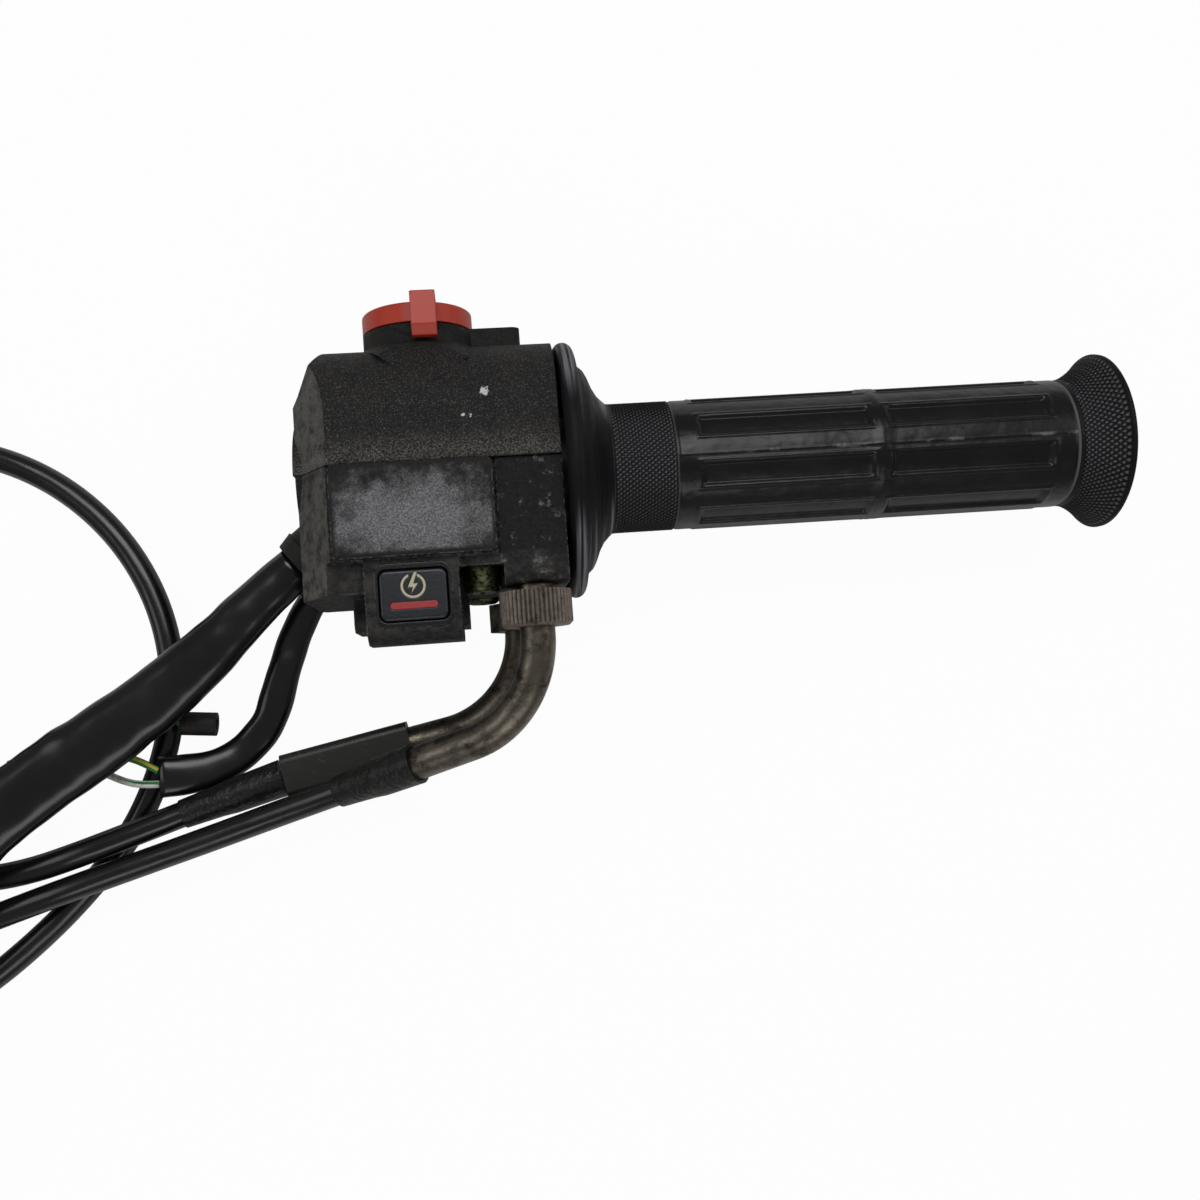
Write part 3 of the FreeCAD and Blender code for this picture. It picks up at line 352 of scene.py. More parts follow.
def painted_cast_aluminium(settings):
    """Die-cast aluminium under baked wrinkle paint: dull and granular, with dust and rubbed high spots."""
    material, tree, shader, place = start_finish(
        "painted_cast_aluminium", settings.paint, ior=1.48, specular=0.27
    )
    axis = add_node(tree, "ShaderNodeSeparateXYZ", {0: place}).outputs
    normal = add_node(tree, "ShaderNodeNewGeometry").outputs["Normal"]
    face = add_node(tree, "ShaderNodeSeparateXYZ", {0: normal}).outputs
    grit_mm = settings.grit / MM
    grain = pattern(tree, place, grit_mm, 3.0, 0.7)
    coarse = pattern(tree, place, grit_mm * 2.6, 3.0, 0.6)
    broad = pattern(tree, place, 9.0, 4.0, 0.65)
    blotch = pattern(tree, place, 3.2, 5.0, 0.7)
    # the drum block at the outboard end of the lower half is smoother and blacker
    upper = mask(tree, (axis[1], -0.05, 0.05))
    block = mask(tree, (axis[1], 0.05, -0.05), (axis[0], 24.9, 25.3))
    colour = layer(tree, settings.paint, settings.warm_paint, (broad, 0.42, 0.66))
    colour = layer(tree, colour, linear("#08080A"), block, 0.9)
    # dust specks lie in the grain, thickest above the joint line, on the inboard taper and under the panel
    colour = layer(tree, colour, settings.dust, (grain, 0.56, 0.68), 0.13)
    colour = layer(tree, colour, settings.dust, upper, (axis[1], 30.0, 24.0), (grain, 0.53, 0.65), 0.38)
    colour = layer(
        tree, colour, settings.dust, upper, (axis[1], 8.0, 0.5), (blotch, 0.2, 0.55), (grain, 0.42, 0.6), 0.62
    )
    taper = mask(tree, (face[0], -0.35, -0.75), (axis[0], -9.0, -13.0), (axis[0], -19.9, -19.6))
    colour = layer(tree, colour, settings.dust, taper, (blotch, 0.3, 0.6), 0.5)
    colour = layer(tree, colour, settings.dust, (axis[1], -20.6, -21.4), (blotch, 0.36, 0.66), 0.2)
    # the raised panel is rubbed grey in fine speckles, most of all low in its middle; off_middle is the
    # distance from there, where the rubbed oval is a circle
    links = {0: place, 1: (0.052, 0.105, 0), 2: (-0.33, 1.36, 0)}
    oval = add_node(tree, "ShaderNodeVectorMath", links, operation="MULTIPLY_ADD").outputs[0]
    off_middle = add_node(tree, "ShaderNodeVectorMath", {0: oval}, operation="LENGTH").outputs["Value"]
    links = {0: pattern(tree, place, 5.0, 5.0, 0.68), 1: 2.4, 2: off_middle}
    ragged = add_node(tree, "ShaderNodeMath", links, operation="MULTIPLY_ADD").outputs[0]
    rubbed = mask(
        tree,
        (axis[0], -10.9, -9.6),
        (axis[0], 24.2, 23.2),
        (axis[1], -20.2, -19.2),
        (axis[1], -0.4, -1.4),
        (axis[2], 25.4, 25.8),
        (ragged, 2.65, 1.55),
    )
    speckle = mask(tree, (pattern(tree, place, grit_mm * 1.1, 5.0, 0.85), 0.42, 0.58))
    links = {0: speckle, 1: 0.66, 2: 0.24}
    speckle = add_node(tree, "ShaderNodeMath", links, operation="MULTIPLY_ADD").outputs[0]
    colour = layer(tree, colour, settings.worn, rubbed, speckle)
    # scuffs on the drum block, worn edges on the lower half, and nicks to bare metal on the upper half
    colour = layer(tree, colour, settings.worn, block, (blotch, 0.55, 0.64), (coarse, 0.42, 0.58), 0.42)
    rounded = add_node(tree, "ShaderNodeBevel", {"Radius": 0.0006}, samples=6).outputs[0]
    links = {0: rounded, 1: normal}
    flat = add_node(tree, "ShaderNodeVectorMath", links, operation="DOT_PRODUCT").outputs["Value"]
    lower = (axis[1], 0.0, -1.0)
    colour = layer(tree, colour, settings.worn, (flat, 0.985, 0.93), (coarse, 0.44, 0.6), lower, 0.45)
    for nick, size in NICKS:
        links = {0: place, 1: nick}
        away = add_node(tree, "ShaderNodeVectorMath", links, operation="DISTANCE").outputs["Value"]
        links = {0: coarse, 1: 2.6, 2: away}
        edge = add_node(tree, "ShaderNodeMath", links, operation="MULTIPLY_ADD").outputs[0]
        colour = layer(tree, colour, settings.bare, (edge, size + 1.25, size + 0.95))
    tree.links.new(colour, shader.inputs["Base Color"])
    rough = add_node(tree, "ShaderNodeMapRange", {0: coarse, 1: 0.3, 2: 0.7, 3: 0.5, 4: 0.72}).outputs[0]
    tree.links.new(rough, shader.inputs["Roughness"])
    cast = raise_surface(tree, shader, broad, 0.00035, rounded)
    mixed = add_node(tree, "ShaderNodeMath", {0: grain, 1: coarse}, operation="ADD").outputs[0]
    raise_surface(tree, shader, mixed, 0.00014, cast)
    return material


def zinc_plated_steel(settings):
    """Turned steel with passivated zinc: a dull olive metal with a green and yellow cast in patches."""
    material, tree, shader, place = start_finish("zinc_plated_steel", settings.zinc, 0.38, metallic=1.0)
    colour = layer(tree, settings.zinc, linear("#434D33"), (pattern(tree, place, 1.6), 0.35, 0.65))
    colour = layer(tree, colour, settings.grime_and_shade, (pattern(tree, place, 0.9, 5.0), 0.46, 0.66))
    tree.links.new(colour, shader.inputs["Base Color"])
    rounded = add_node(tree, "ShaderNodeBevel", {"Radius": 0.00025}, samples=6).outputs[0]
    raise_surface(tree, shader, pattern(tree, place, 0.5), 0.00006, rounded)
    return material


def bronzed_steel_tube(settings):
    """Bent steel tube with worn dark plating: bronze brown, with grime in fine patches."""
    material, tree, shader, place = start_finish("bronzed_steel_tube", settings.bronzed, metallic=0.9)
    patches = pattern(tree, place, 5.5, 7.0, 0.72)
    fine = pattern(tree, place, 0.5, 4.0, 0.7)
    colour = layer(tree, settings.bronzed, settings.grime_and_shade, (patches, 0.42, 0.68), 0.9)
    colour = layer(tree, colour, linear("#B9AD9C"), (fine, 0.62, 0.7), 0.3)
    tree.links.new(colour, shader.inputs["Base Color"])
    rough = add_node(tree, "ShaderNodeMapRange", {0: patches, 1: 0.3, 2: 0.7, 3: 0.2, 4: 0.48}).outputs[0]
    tree.links.new(rough, shader.inputs["Roughness"])
    raise_surface(tree, shader, fine, 0.00006)
    return material


def knurled_steel(settings):
    """Knurled ring nut in the same steel: brown grey ridges with grime in patches, and painted shade darkening
    the grooves.
    """
    material, tree, shader, place = start_finish("knurled_steel", RING_NUT_BROWN, 0.5, metallic=0.6)
    painted_groove_shade = add_node(tree, "ShaderNodeAmbientOcclusion", {"Distance": 0.0007}, samples=8).outputs["AO"]
    grime = pattern(tree, place, 1.8, 5.0, 0.7)
    colour = layer(tree, RING_NUT_BROWN, settings.grime_and_shade, (grime, 0.45, 0.7), 0.7)
    # painted shade: ambient occlusion darkens the grooves between the ridges
    colour = layer(tree, colour, settings.grime_and_shade, (painted_groove_shade, 0.95, 0.6), 0.85)
    tree.links.new(colour, shader.inputs["Base Color"])
    raise_surface(tree, shader, pattern(tree, place, 0.6), 0.00008)
    return material


def bare_steel(settings):
    """Drawn steel wire and bearing steel: bright grey with fine die lines."""
    material, tree, shader, place = start_finish("bare_steel", settings.steel, 0.28, metallic=1.0)
    lines = pattern(tree, place, 0.6, 3.0, 0.5, (0.2, 1, 1))
    colour = layer(tree, settings.steel, linear("#6F6D68"), (lines, 0.4, 0.7))
    tree.links.new(colour, shader.inputs["Base Color"])
    raise_surface(tree, shader, lines, 0.00003)
    return material


def stamped_brass(settings):
    """Stamped brass contacts: soft yellow metal with a dulled, slightly brown film."""
    material, tree, shader, place = start_finish("stamped_brass", settings.brass, 0.36, metallic=1.0)
    colour = layer(tree, settings.brass, linear("#6E5A34"), (pattern(tree, place, 1.2, 5.0), 0.42, 0.68))
    tree.links.new(colour, shader.inputs["Base Color"])
    raise_surface(tree, shader, pattern(tree, place, 0.4), 0.00003)
    return material


def moulded_boot_rubber(settings, name="moulded_boot_rubber", roughness=0.6, wrinkle=0.0005):
    """Compression-moulded rubber boots and grommets: dull black with a dusty, wrinkled skin."""
    material, tree, shader, place = start_finish(name, settings.boot, roughness, specular=0.35)
    dusty = pattern(tree, place, 2.4, 6.0, 0.7)
    colour = layer(tree, settings.boot, linear("#3C3833"), (dusty, 0.5, 0.75), 0.4)
    tree.links.new(colour, shader.inputs["Base Color"])
    rounded = add_node(tree, "ShaderNodeBevel", {"Radius": 0.0004}, samples=6).outputs[0]
    folds = pattern(tree, place, 3.0, 3.0, 0.6, (1.2, 0.6, 1.2))
    skin = raise_surface(tree, shader, folds, wrinkle, rounded)
    raise_surface(tree, shader, pattern(tree, place, 0.5), 0.00008, skin)
    return material


def moulded_grip_rubber(settings):
    """Moulded grip rubber: near black and satin, polished by hands, with a grey bloom and painted highlights
    on its ridges, seam and cone.
    """
    material, tree, shader, place = start_finish("moulded_grip_rubber", settings.rubber, ior=1.52)
    axis = add_node(tree, "ShaderNodeSeparateXYZ", {0: place}).outputs
    broad = pattern(tree, place, 12.0, 5.0, 0.6)
    rings = pattern(tree, place, 0.9, 3.0, 0.6, (1.0, 0.02, 0.02))
    # the collar, the flare and the cone are dull; the held body between them is polished
    body = mask(tree, (axis[0], HELD_FROM - 0.6, HELD_FROM), (axis[0], HELD_TO + 0.8, HELD_TO))
    cone = mask(tree, (axis[0], CONE_END + 0.8, CONE_END))
    past_cone = (axis[0], CONE_END, CONE_END + 0.8)
    dull = add_node(tree, "ShaderNodeMath", {0: 1.0, 1: body}, operation="SUBTRACT").outputs[0]
    colour = layer(tree, settings.rubber, settings.bloom, (broad, 0.5, 0.8), 0.25)
    colour = layer(tree, colour, settings.bloom, dull, 0.1)
    colour = layer(tree, colour, linear("#2E2E31"), cone, (rings, 0.5, 0.75), 0.2)
    # painted highlight: pale streaks round the cone, where it faces up and down on the motorcycle, stand in
    # for its gloss highlights
    facing = add_node(tree, "ShaderNodeNewGeometry").outputs["Normal"]
    upward = add_node(tree, "ShaderNodeSeparateXYZ", {0: facing}).outputs[1]
    cone_highlight_facing = add_node(tree, "ShaderNodeMath", {0: upward, 1: upward}, operation="MULTIPLY").outputs[0]
    colour = layer(tree, colour, linear("#84848A"), cone, (cone_highlight_facing, 0.1, 0.4), (rings, 0.4, 0.6), 0.7)
    # painted highlight: a pale broken line along the seam, on the side towards +Z, stands in for the seam's
    # highlight
    above = add_node(tree, "ShaderNodeMath", {0: axis[1], 1: -SEAM_Y}, operation="ADD").outputs[0]
    from_seam = add_node(tree, "ShaderNodeMath", {0: above}, operation="ABSOLUTE").outputs[0]
    broken = pattern(tree, place, 6.0, 6.0, 0.7, (0.5, 1, 1))
    line = mask(tree, (from_seam, 0.7, 0.1), (axis[2], 0.0, 1.0), (broken, 0.5, 0.62), body)
    colour = layer(tree, colour, linear("#77777A"), line, 0.7)
    # painted highlight: the knurl's ridges, found by their pointiness, are painted pale grey where their
    # highlights fall
    tops = add_node(tree, "ShaderNodeNewGeometry").outputs["Pointiness"]
    colour = layer(tree, colour, linear("#77777B"), dull, past_cone, (tops, 0.495, 0.53), 0.55)
    tree.links.new(colour, shader.inputs["Base Color"])
    sheen = add_node(tree, "ShaderNodeMath", {0: dull, 1: -0.2, 2: 0.35}, operation="MULTIPLY_ADD")
    tree.links.new(sheen.outputs[0], shader.inputs["Specular IOR Level"])
    rough = add_node(tree, "ShaderNodeMath", {0: dull, 1: 0.22, 2: 0.2}, operation="MULTIPLY_ADD")
    links = {0: broad, 1: 0.22, 2: rough.outputs[0]}
    rough = add_node(tree, "ShaderNodeMath", links, operation="MULTIPLY_ADD")
    tree.links.new(rough.outputs[0], shader.inputs["Roughness"])
    waves = raise_surface(tree, shader, pattern(tree, place, 7.0, 2.0), 0.00035)
    raise_surface(tree, shader, pattern(tree, place, 0.7, 4.0, 0.7), 0.00003, waves)
    return material


def extruded_vinyl(settings, name="extruded_vinyl", roughness=0.22, aged=0.2):
    """Extruded vinyl casing: smooth gloss black with a faint grey film and shallow waves."""
    material, tree, shader, place = start_finish(name, settings.vinyl, ior=1.53)
    film = pattern(tree, place, 14.0, 5.0)
    colour = layer(tree, settings.vinyl, settings.aged_vinyl, (film, 0.42, 0.75), aged)
    tree.links.new(colour, shader.inputs["Base Color"])
    links = {0: film, 1: 0.3, 2: 0.7, 3: roughness - 0.03, 4: roughness + 0.07}
    rough = add_node(tree, "ShaderNodeMapRange", links).outputs[0]
    tree.links.new(rough, shader.inputs["Roughness"])
    waves = raise_surface(tree, shader, pattern(tree, place, 9.0, 1.0), 0.00022)
    raise_surface(tree, shader, pattern(tree, place, 0.6, 3.0), 0.00001, waves)
    return material


def striped_insulation(name, ground, tracer):
    """Thin extruded wire insulation with a coloured tracer along one side."""
    material, tree, shader, place = start_finish(name, ground, 0.4, ior=1.53)
    normal = add_node(tree, "ShaderNodeNewGeometry").outputs["Normal"]
    links = {0: normal, 1: TRACER_SIDE}
    side = add_node(tree, "ShaderNodeVectorMath", links, operation="DOT_PRODUCT").outputs["Value"]
    colour = layer(tree, ground, tracer, (side, 0.86, 0.92))
    colour = layer(tree, colour, linear("#4A4436"), (pattern(tree, place, 2.0, 5.0), 0.5, 0.75), 0.5)
    tree.links.new(colour, shader.inputs["Base Color"])
    return material


def moulded_abs(name, colour, worn_colour, roughness, wear=0.5, size=1.6):
    """Injection-moulded ABS: an even colour with faint rub marks and softened edges."""
    material, tree, shader, place = start_finish(name, colour, roughness, ior=1.54)
    marks = (pattern(tree, place, size, 6.0, 0.7), 0.56, 0.76)
    tree.links.new(layer(tree, colour, worn_colour, marks, wear), shader.inputs["Base Color"])
    rounded = add_node(tree, "ShaderNodeBevel", {"Radius": 0.0004}, samples=6).outputs[0]
    raise_surface(tree, shader, pattern(tree, place, 0.5, 3.0), 0.00003, rounded)
    return material


# ---- routes of the free cords ------------------------------------------------------------------------
# Points in millimetres, where each cord would turn if its runs were straight. A profile's rows are the
# distance along the cord, its width and its height.

RETURN_ROUTE = [
    (-16.1, -72.2, -6), (-29, -75.9, -10.6), (-48, -81.4, -14.3), (-67, -86.7, -17.2),
    (-84, -91.4, -17.8), (-98, -95.6, -21.5), (-111, -99.6, -26.3), (-129, -102.6, -27.3),
    (-153, -98.5, -27.3), (-174, -83, -27.3), (-187.5, -60, -27.3), (-191.5, -33, -27.3),
    (-183.5, -8, -27.3), (-165, 10.5, -27.3), (-141, 20, -27.3), (-115, 21.6, -27.3),
    (-89.5, 13.8, -27.3), (-70, -3.4, -27.3), (-58.9, -26.5, -27.3), (-58, -52, -27.3),
    (-67, -76.5, -27.3), (-82.5, -94.5, -27.3), (-99, -108.5, -27.3), (-115, -118.5, -27.3),
    (-132, -124, -27.2), (-148, -124.4, -26.6),
]
PULL_START = [
    (-55.4, -75.4, -18.8), (-67, -79, -17.9), (-80.5, -83.1, -17.8), (-93, -86.4, -21.4),
    (-106, -88, -25.9), (-119.5, -86.6, -27.3),
]
PULL_TAIL = [(-173, -43, -20.3), (-173, -35.5, -20.2)]
COIL_CENTRE = (-142, -45)
# the coil's turns wind clockwise: (degrees turned, radius, height), then the tail lies on top of them
COIL_STAGES = [
    (-76, 36.6, -27.3), (-110, 34.9, -27.3), (-400, 34.9, -27.3), (-446, 28.6, -27.3), (-718, 28.6, -27.3),
    (-764, 31.7, -20.95), (-830, 31.7, -20.95), (-890, 31.7, -20.5),
]
COIL_STEP_DEGREES = 23
HARNESS_ROUTE = [
    (-24, -17, -14), (-31.4, -22.9, -14.3), (-39.5, -30.3, -14.5), (-48, -38.1, -14.5),
    (-59, -46.8, -14.5), (-71.5, -55.1, -14.5), (-84, -62.6, -14.5), (-97.5, -71.4, -14.3),
    (-109, -81.5, -14.2), (-118.5, -94, -14.2), (-124.8, -110.5, -14.2), (-129.3, -129.5, -14.4),
    (-143.1, -146.6, -18.9), (-163, -156.1, -23.9), (-185.5, -156.1, -24.4),
]
HARNESS_PROFILE = [
    (0, 10.2, 9.6), (22, 12.6, 10.4), (45, 15.4, 9.8), (75, 17, 8.8), (120, 17, 8.8), (160, 13, 10.8),
    (185, 12.2, 11.9), (400, 12.2, 11.9),
]
LEAD_ROUTE = [
    (-22, -25, -23.5), (-25.6, -30.8, -23.4), (-28.7, -38, -23.4), (-31.2, -45.8, -23.6),
    (-34.6, -55.2, -24.2), (-41.4, -62.3, -24.4), (-50.6, -66.2, -22.9), (-61, -66.2, -20.2),
]
LEAD_PROFILE = [(0, 7.2, 6.6), (10, 8, 6.2), (34, 8.4, 5.6), (50, 9.2, 5.4), (63, 10.2, 5)]
WHITE_WIRE_ROUTE = [
    (-61, -67.8, -20), (-65.5, -67.7, -20.6), (-70.5, -66.5, -23.2), (-75.5, -64.5, -27),
    (-81.8, -62.5, -28.6), (-88.5, -61.5, -28.9),
]
GREEN_WIRE_ROUTE = [
    (-61, -64.6, -20), (-65.9, -61.6, -21.2), (-71.4, -60.1, -22.1), (-74.8, -55.7, -22.4),
    (-74.6, -50.1, -22.4), (-70.7, -46.1, -22.4), (-65.1, -45.7, -22.4), (-61, -49.6, -22.4),
    (-55.5, -53.4, -22.3),
]


def coil_points():
    """Points round the put-away coil, one about every COIL_STEP_DEGREES."""
    turned, radius, height = np.array(COIL_STAGES).T
    count = int((turned[0] - turned[-1]) / COIL_STEP_DEGREES)
    points = []
    for i in range(count + 1):
        a = turned[0] + (turned[-1] - turned[0]) * i / count
        r = np.interp(-a, -turned, radius)
        z = np.interp(-a, -turned, height)
        at = math.radians(a)
        points.append((COIL_CENTRE[0] + r * math.cos(at), COIL_CENTRE[1] + r * math.sin(at), z))
    return points


# ---- operators ---------------------------------------------------------------------------------------

CAMERA_AT = (0.019494, -0.053344, 0.300405)
CAMERA_TURN = (0.0794, -0.0905, -0.0747)
CAMERA_LENS = 37.911
FLOOR_HALF = 3
# the share of plain white that the camera sees on the floor, which leaves faint shadows
FLOOR_GLOW = 0.965
LAMP_TARGET = (0.03, -0.02, 0)


class THROTTLE_OT_stage(bpy.types.Operator):
    """Adds the camera, the pale floor, the studio lamps and the sky"""

    bl_idname = "throttle_grip.stage"
    bl_label = "Stage"

    def execute(self, context):
        settings = context.scene.throttle_stage
        scene = context.scene
        scene.view_settings.view_transform = "Standard"
        lens = bpy.data.cameras.new("camera")
        lens.sensor_width = 36
        lens.lens = CAMERA_LENS
        lens.clip_start = 0.01
        camera = bpy.data.objects.new("camera", lens)
        camera.location = CAMERA_AT
        camera.rotation_euler = CAMERA_TURN
        scene.collection.objects.link(camera)
        scene.camera = camera
        square = ((-1, -1), (1, -1), (1, 1), (-1, 1))
        corners = [(x * FLOOR_HALF, y * FLOOR_HALF, FLOOR_Z) for x, y in square]
        floor = new_mesh("floor", corners, [(0, 1, 2, 3)])
        material, tree, shader, _ = start_finish("painted_floor", settings.floor_colour, 0.9)
        glow = add_node(tree, "ShaderNodeEmission", {"Color": (1, 1, 1, 1), "Strength": 1.0})
        seen = add_node(tree, "ShaderNodeLightPath").outputs
        links = {0: seen["Is Camera Ray"], 1: FLOOR_GLOW}
        share = add_node(tree, "ShaderNodeMath", links, operation="MULTIPLY")
        links = {0: share.outputs[0], 1: shader.outputs[0], 2: glow.outputs[0]}
        both = add_node(tree, "ShaderNodeMixShader", links)
        tree.links.new(both.outputs[0], tree.nodes["Material Output"].inputs["Surface"])
        floor.data.materials.append(material)
        # name, place, width, depth and power
        lamps = [
            ("key", (0.05, 0.30, 0.62), 0.55, 0.30, settings.key_power),
            ("fill_low", (-0.02, -0.52, 0.42), 0.60, 0.20, settings.fill_power),
            ("fill_left", (-0.60, 0.05, 0.40), 0.35, 0.35, settings.fill_power * 0.7),
            ("fill_right", (0.60, 0.10, 0.35), 0.30, 0.30, settings.fill_power * 0.6),
        ]
        for name, at, wide, deep, power in lamps:
            light = bpy.data.lights.new(name, "AREA")
            light.shape = "RECTANGLE"
            light.size = wide
            light.size_y = deep
            light.energy = power
            lamp = bpy.data.objects.new(name, light)
            lamp.location = at
            lamp.rotation_mode = "QUATERNION"
            lamp.rotation_quaternion = (Vector(LAMP_TARGET) - Vector(at)).to_track_quat("-Z", "Y")
            scene.collection.objects.link(lamp)
        world = bpy.data.worlds.new("sky")
        world.use_nodes = True
        tree = world.node_tree
        sky = tree.nodes["Background"]
        sky.inputs["Strength"].default_value = settings.sky_strength
        sky.inputs["Color"].default_value = (1, 1, 1, 1)
        white = add_node(tree, "ShaderNodeBackground", {"Color": (1, 1, 1, 1), "Strength": 1.0})
        seen = add_node(tree, "ShaderNodeLightPath").outputs
        links = {0: seen["Is Camera Ray"], 1: sky.outputs[0], 2: white.outputs[0]}
        both = add_node(tree, "ShaderNodeMixShader", links)
        tree.links.new(both.outputs[0], tree.nodes["World Output"].inputs["Surface"])
        scene.world = world
        return {"FINISHED"}


class THROTTLE_OT_throttle_cables(bpy.types.Operator):
    """Lays the two throttle cables, with the put-away coil and their crimped ends"""

    bl_idname = "throttle_grip.throttle_cables"
    bl_label = "Throttle cables"

    def execute(self, context):
        settings = context.scene.throttle_cords
        vinyl = extruded_vinyl(settings)
        radius = settings.cable_diameter / 2
        back = smooth_route("return_cable_casing", RETURN_ROUTE, radius)
        place_piece(back, "housing", "cable_vinyl", vinyl, "return_cable")
        route = PULL_START + coil_points() + PULL_TAIL
        pull = smooth_route("pull_cable_casing", route, radius)
        stood_for = ("pull_cable_run", "pull_cable_coil", "pull_cable_tail")
        place_piece(pull, "housing", "cable_vinyl", vinyl, *stood_for)
        fittings = context.scene.throttle_fittings
        steel = bare_steel(fittings)
        paint_nodes(steel, "return_wire_end", "pull_wire_end", "return_inner_wire", "pull_inner_wire")
        paint_nodes(steel, "return_nipple", "pull_nipple", "kill_detent_ball", "kill_detent_spring")
        paint_nodes(zinc_plated_steel(fittings), "return_end_ferrule", "pull_end_ferrule")
        return {"FINISHED"}


class THROTTLE_OT_wiring(bpy.types.Operator):
    """Lays the harness and the brake-light lead with its two wires, and finishes their plugs"""

    bl_idname = "throttle_grip.wiring"
    bl_label = "Wiring"

    def execute(self, context):
        settings = context.scene.throttle_cords
        fittings = context.scene.throttle_fittings
        sheath = extruded_vinyl(settings, "harness_vinyl_sleeve", 0.2, 0.15)
        line = route_line(HARNESS_ROUTE)
        harness = sleeve("harness_sleeve", line, HARNESS_PROFILE, 3, lump=0.012, around=36, square=2.4)
        place_piece(harness, "housing", "cable_vinyl", sheath, "harness_run")
        line = route_line(LEAD_ROUTE)
        lead = sleeve("brake_lead_sleeve", line, LEAD_PROFILE, 8, lump=0.02, square=2.6)
        place_piece(lead, "housing", "cable_vinyl", sheath, "brake_lead_run")
        # piece, CAD node, route, length, plug, ground colour and tracer colour
        wires = [
            (
                "white_green_wire", "brake_lead_white_wire", WHITE_WIRE_ROUTE, 0.0302,
                "brake_lead_bullet_plug", settings.white_wire, settings.green_wire,
            ),
            (
                "green_yellow_wire", "brake_lead_green_wire", GREEN_WIRE_ROUTE, 0.0435,
                "brake_lead_bullet_sleeve", settings.green_wire, settings.yellow_stripe,
            ),
        ]
        for name, node, route, length, plug, ground, tracer in wires:
            wire = smooth_route(name, route, settings.wire_diameter / 2)
            place_piece(wire, "housing", name, striped_insulation(name, ground, tracer), node)
        plastic = moulded_abs("moulded_nylon_connector", linear("#161616"), linear("#3A3A38"), 0.45)
        paint_nodes(plastic, "harness_connector")
        brass = stamped_brass(fittings)
        paint_nodes(brass, "harness_connector_terminals", "brake_lead_bullet_plug", "kill_contact")
        paint_nodes(brass, "kill_terminals", "start_bridge_contacts", "start_fixed_contacts")
        rubber = moulded_boot_rubber(fittings)
        paint_nodes(rubber, "brake_lead_bullet_sleeve", "harness_grommet", "brake_lead_grommet")
        return {"FINISHED"}


GRIP_NODES = ("grip_flange", "grip_body", "grip_flare")
GRIP_AROUND = 504
# metres from the bar's axis
TUBE_R = 0.0131
BODY_R = 0.0156
FLARE_R = 0.0215
BEAD_R = 0.0022
BEAD_X = FLANGE_X + BEAD_R
BEAD_CENTRE = FLANGE_R - BEAD_R
COLLAR_X = (FLANGE_X - 0.00085 + 0.0128, FLANGE_X - 0.00085 + 0.0128 + 0.0148)
MIDDLE_BEAD_X = 0.1163
FLARE_X = GRIP_END_X - 0.0112
# millimetres from the bead's centre, along the grip and outwards
CONE = [(2.3, -2.3), (2.9, -3.1), (4.4, -4.4), (5.2, -5.9), (6.2, -8.4), (7.5, -10.6), (8.9, -12.0)]
# half the width of a ridge's foot, as a share of the distance between ridges
RIDGE_SHARE = 0.26
PANEL_COLUMNS = ((0.0733, 0.1140), (0.1186, 0.1578))
PANEL_ROWS = 8
PANEL_ROW_ANGLE = 26.0
PANEL_HALF_ANGLE = 9.7
LIP_HEIGHT = 0.00022
LIP_WIDTH = 0.0004
LIP_OUT = 0.0007
SEAM_ANGLE = -1
SEAM_HEIGHT = 0.00012
SEAM_WIDTH = 0.0002


def smooth_step(low, high, value):
    """0 at low, 1 at high, and smooth between."""
    t = np.clip((value - low) / (high - low), 0, 1)
    return t * t * (3 - 2 * t)


def knurl_height(x, angle, knurls, length, depth):
    """A raised net of two families of crossing ridges, whose tops are at no depth."""
    turns = angle / (2 * math.pi) * knurls
    height = -depth
    for way in (-1, 1):
        t = turns + way * x / length
        away = np.abs(t - np.round(t))
        height = np.maximum(height, -depth * np.clip(away / RIDGE_SHARE, 0, 1))
    return height


def panel_height(x, angle, radius, depth):
    """Pressed panels in eight rows and two columns, each with a raised lip round it."""
    height = np.zeros(np.broadcast(x, angle).shape)
    apart = 360 / PANEL_ROWS
    row = np.mod(np.degrees(angle) - PANEL_ROW_ANGLE + apart / 2, apart) - apart / 2
    across = np.radians(np.abs(row)) * radius - math.radians(PANEL_HALF_ANGLE) * radius
    for start, end in PANEL_COLUMNS:
        middle, half = (start + end) / 2, (end - start) / 2
        lengthwise = np.abs(x - middle) - half
        out = np.maximum(lengthwise, across)
        height = height - depth * smooth_step(0.00025, -0.00055, out)
        height = height + LIP_HEIGHT * np.exp(-(((out - LIP_OUT) / LIP_WIDTH) ** 2))
    return height


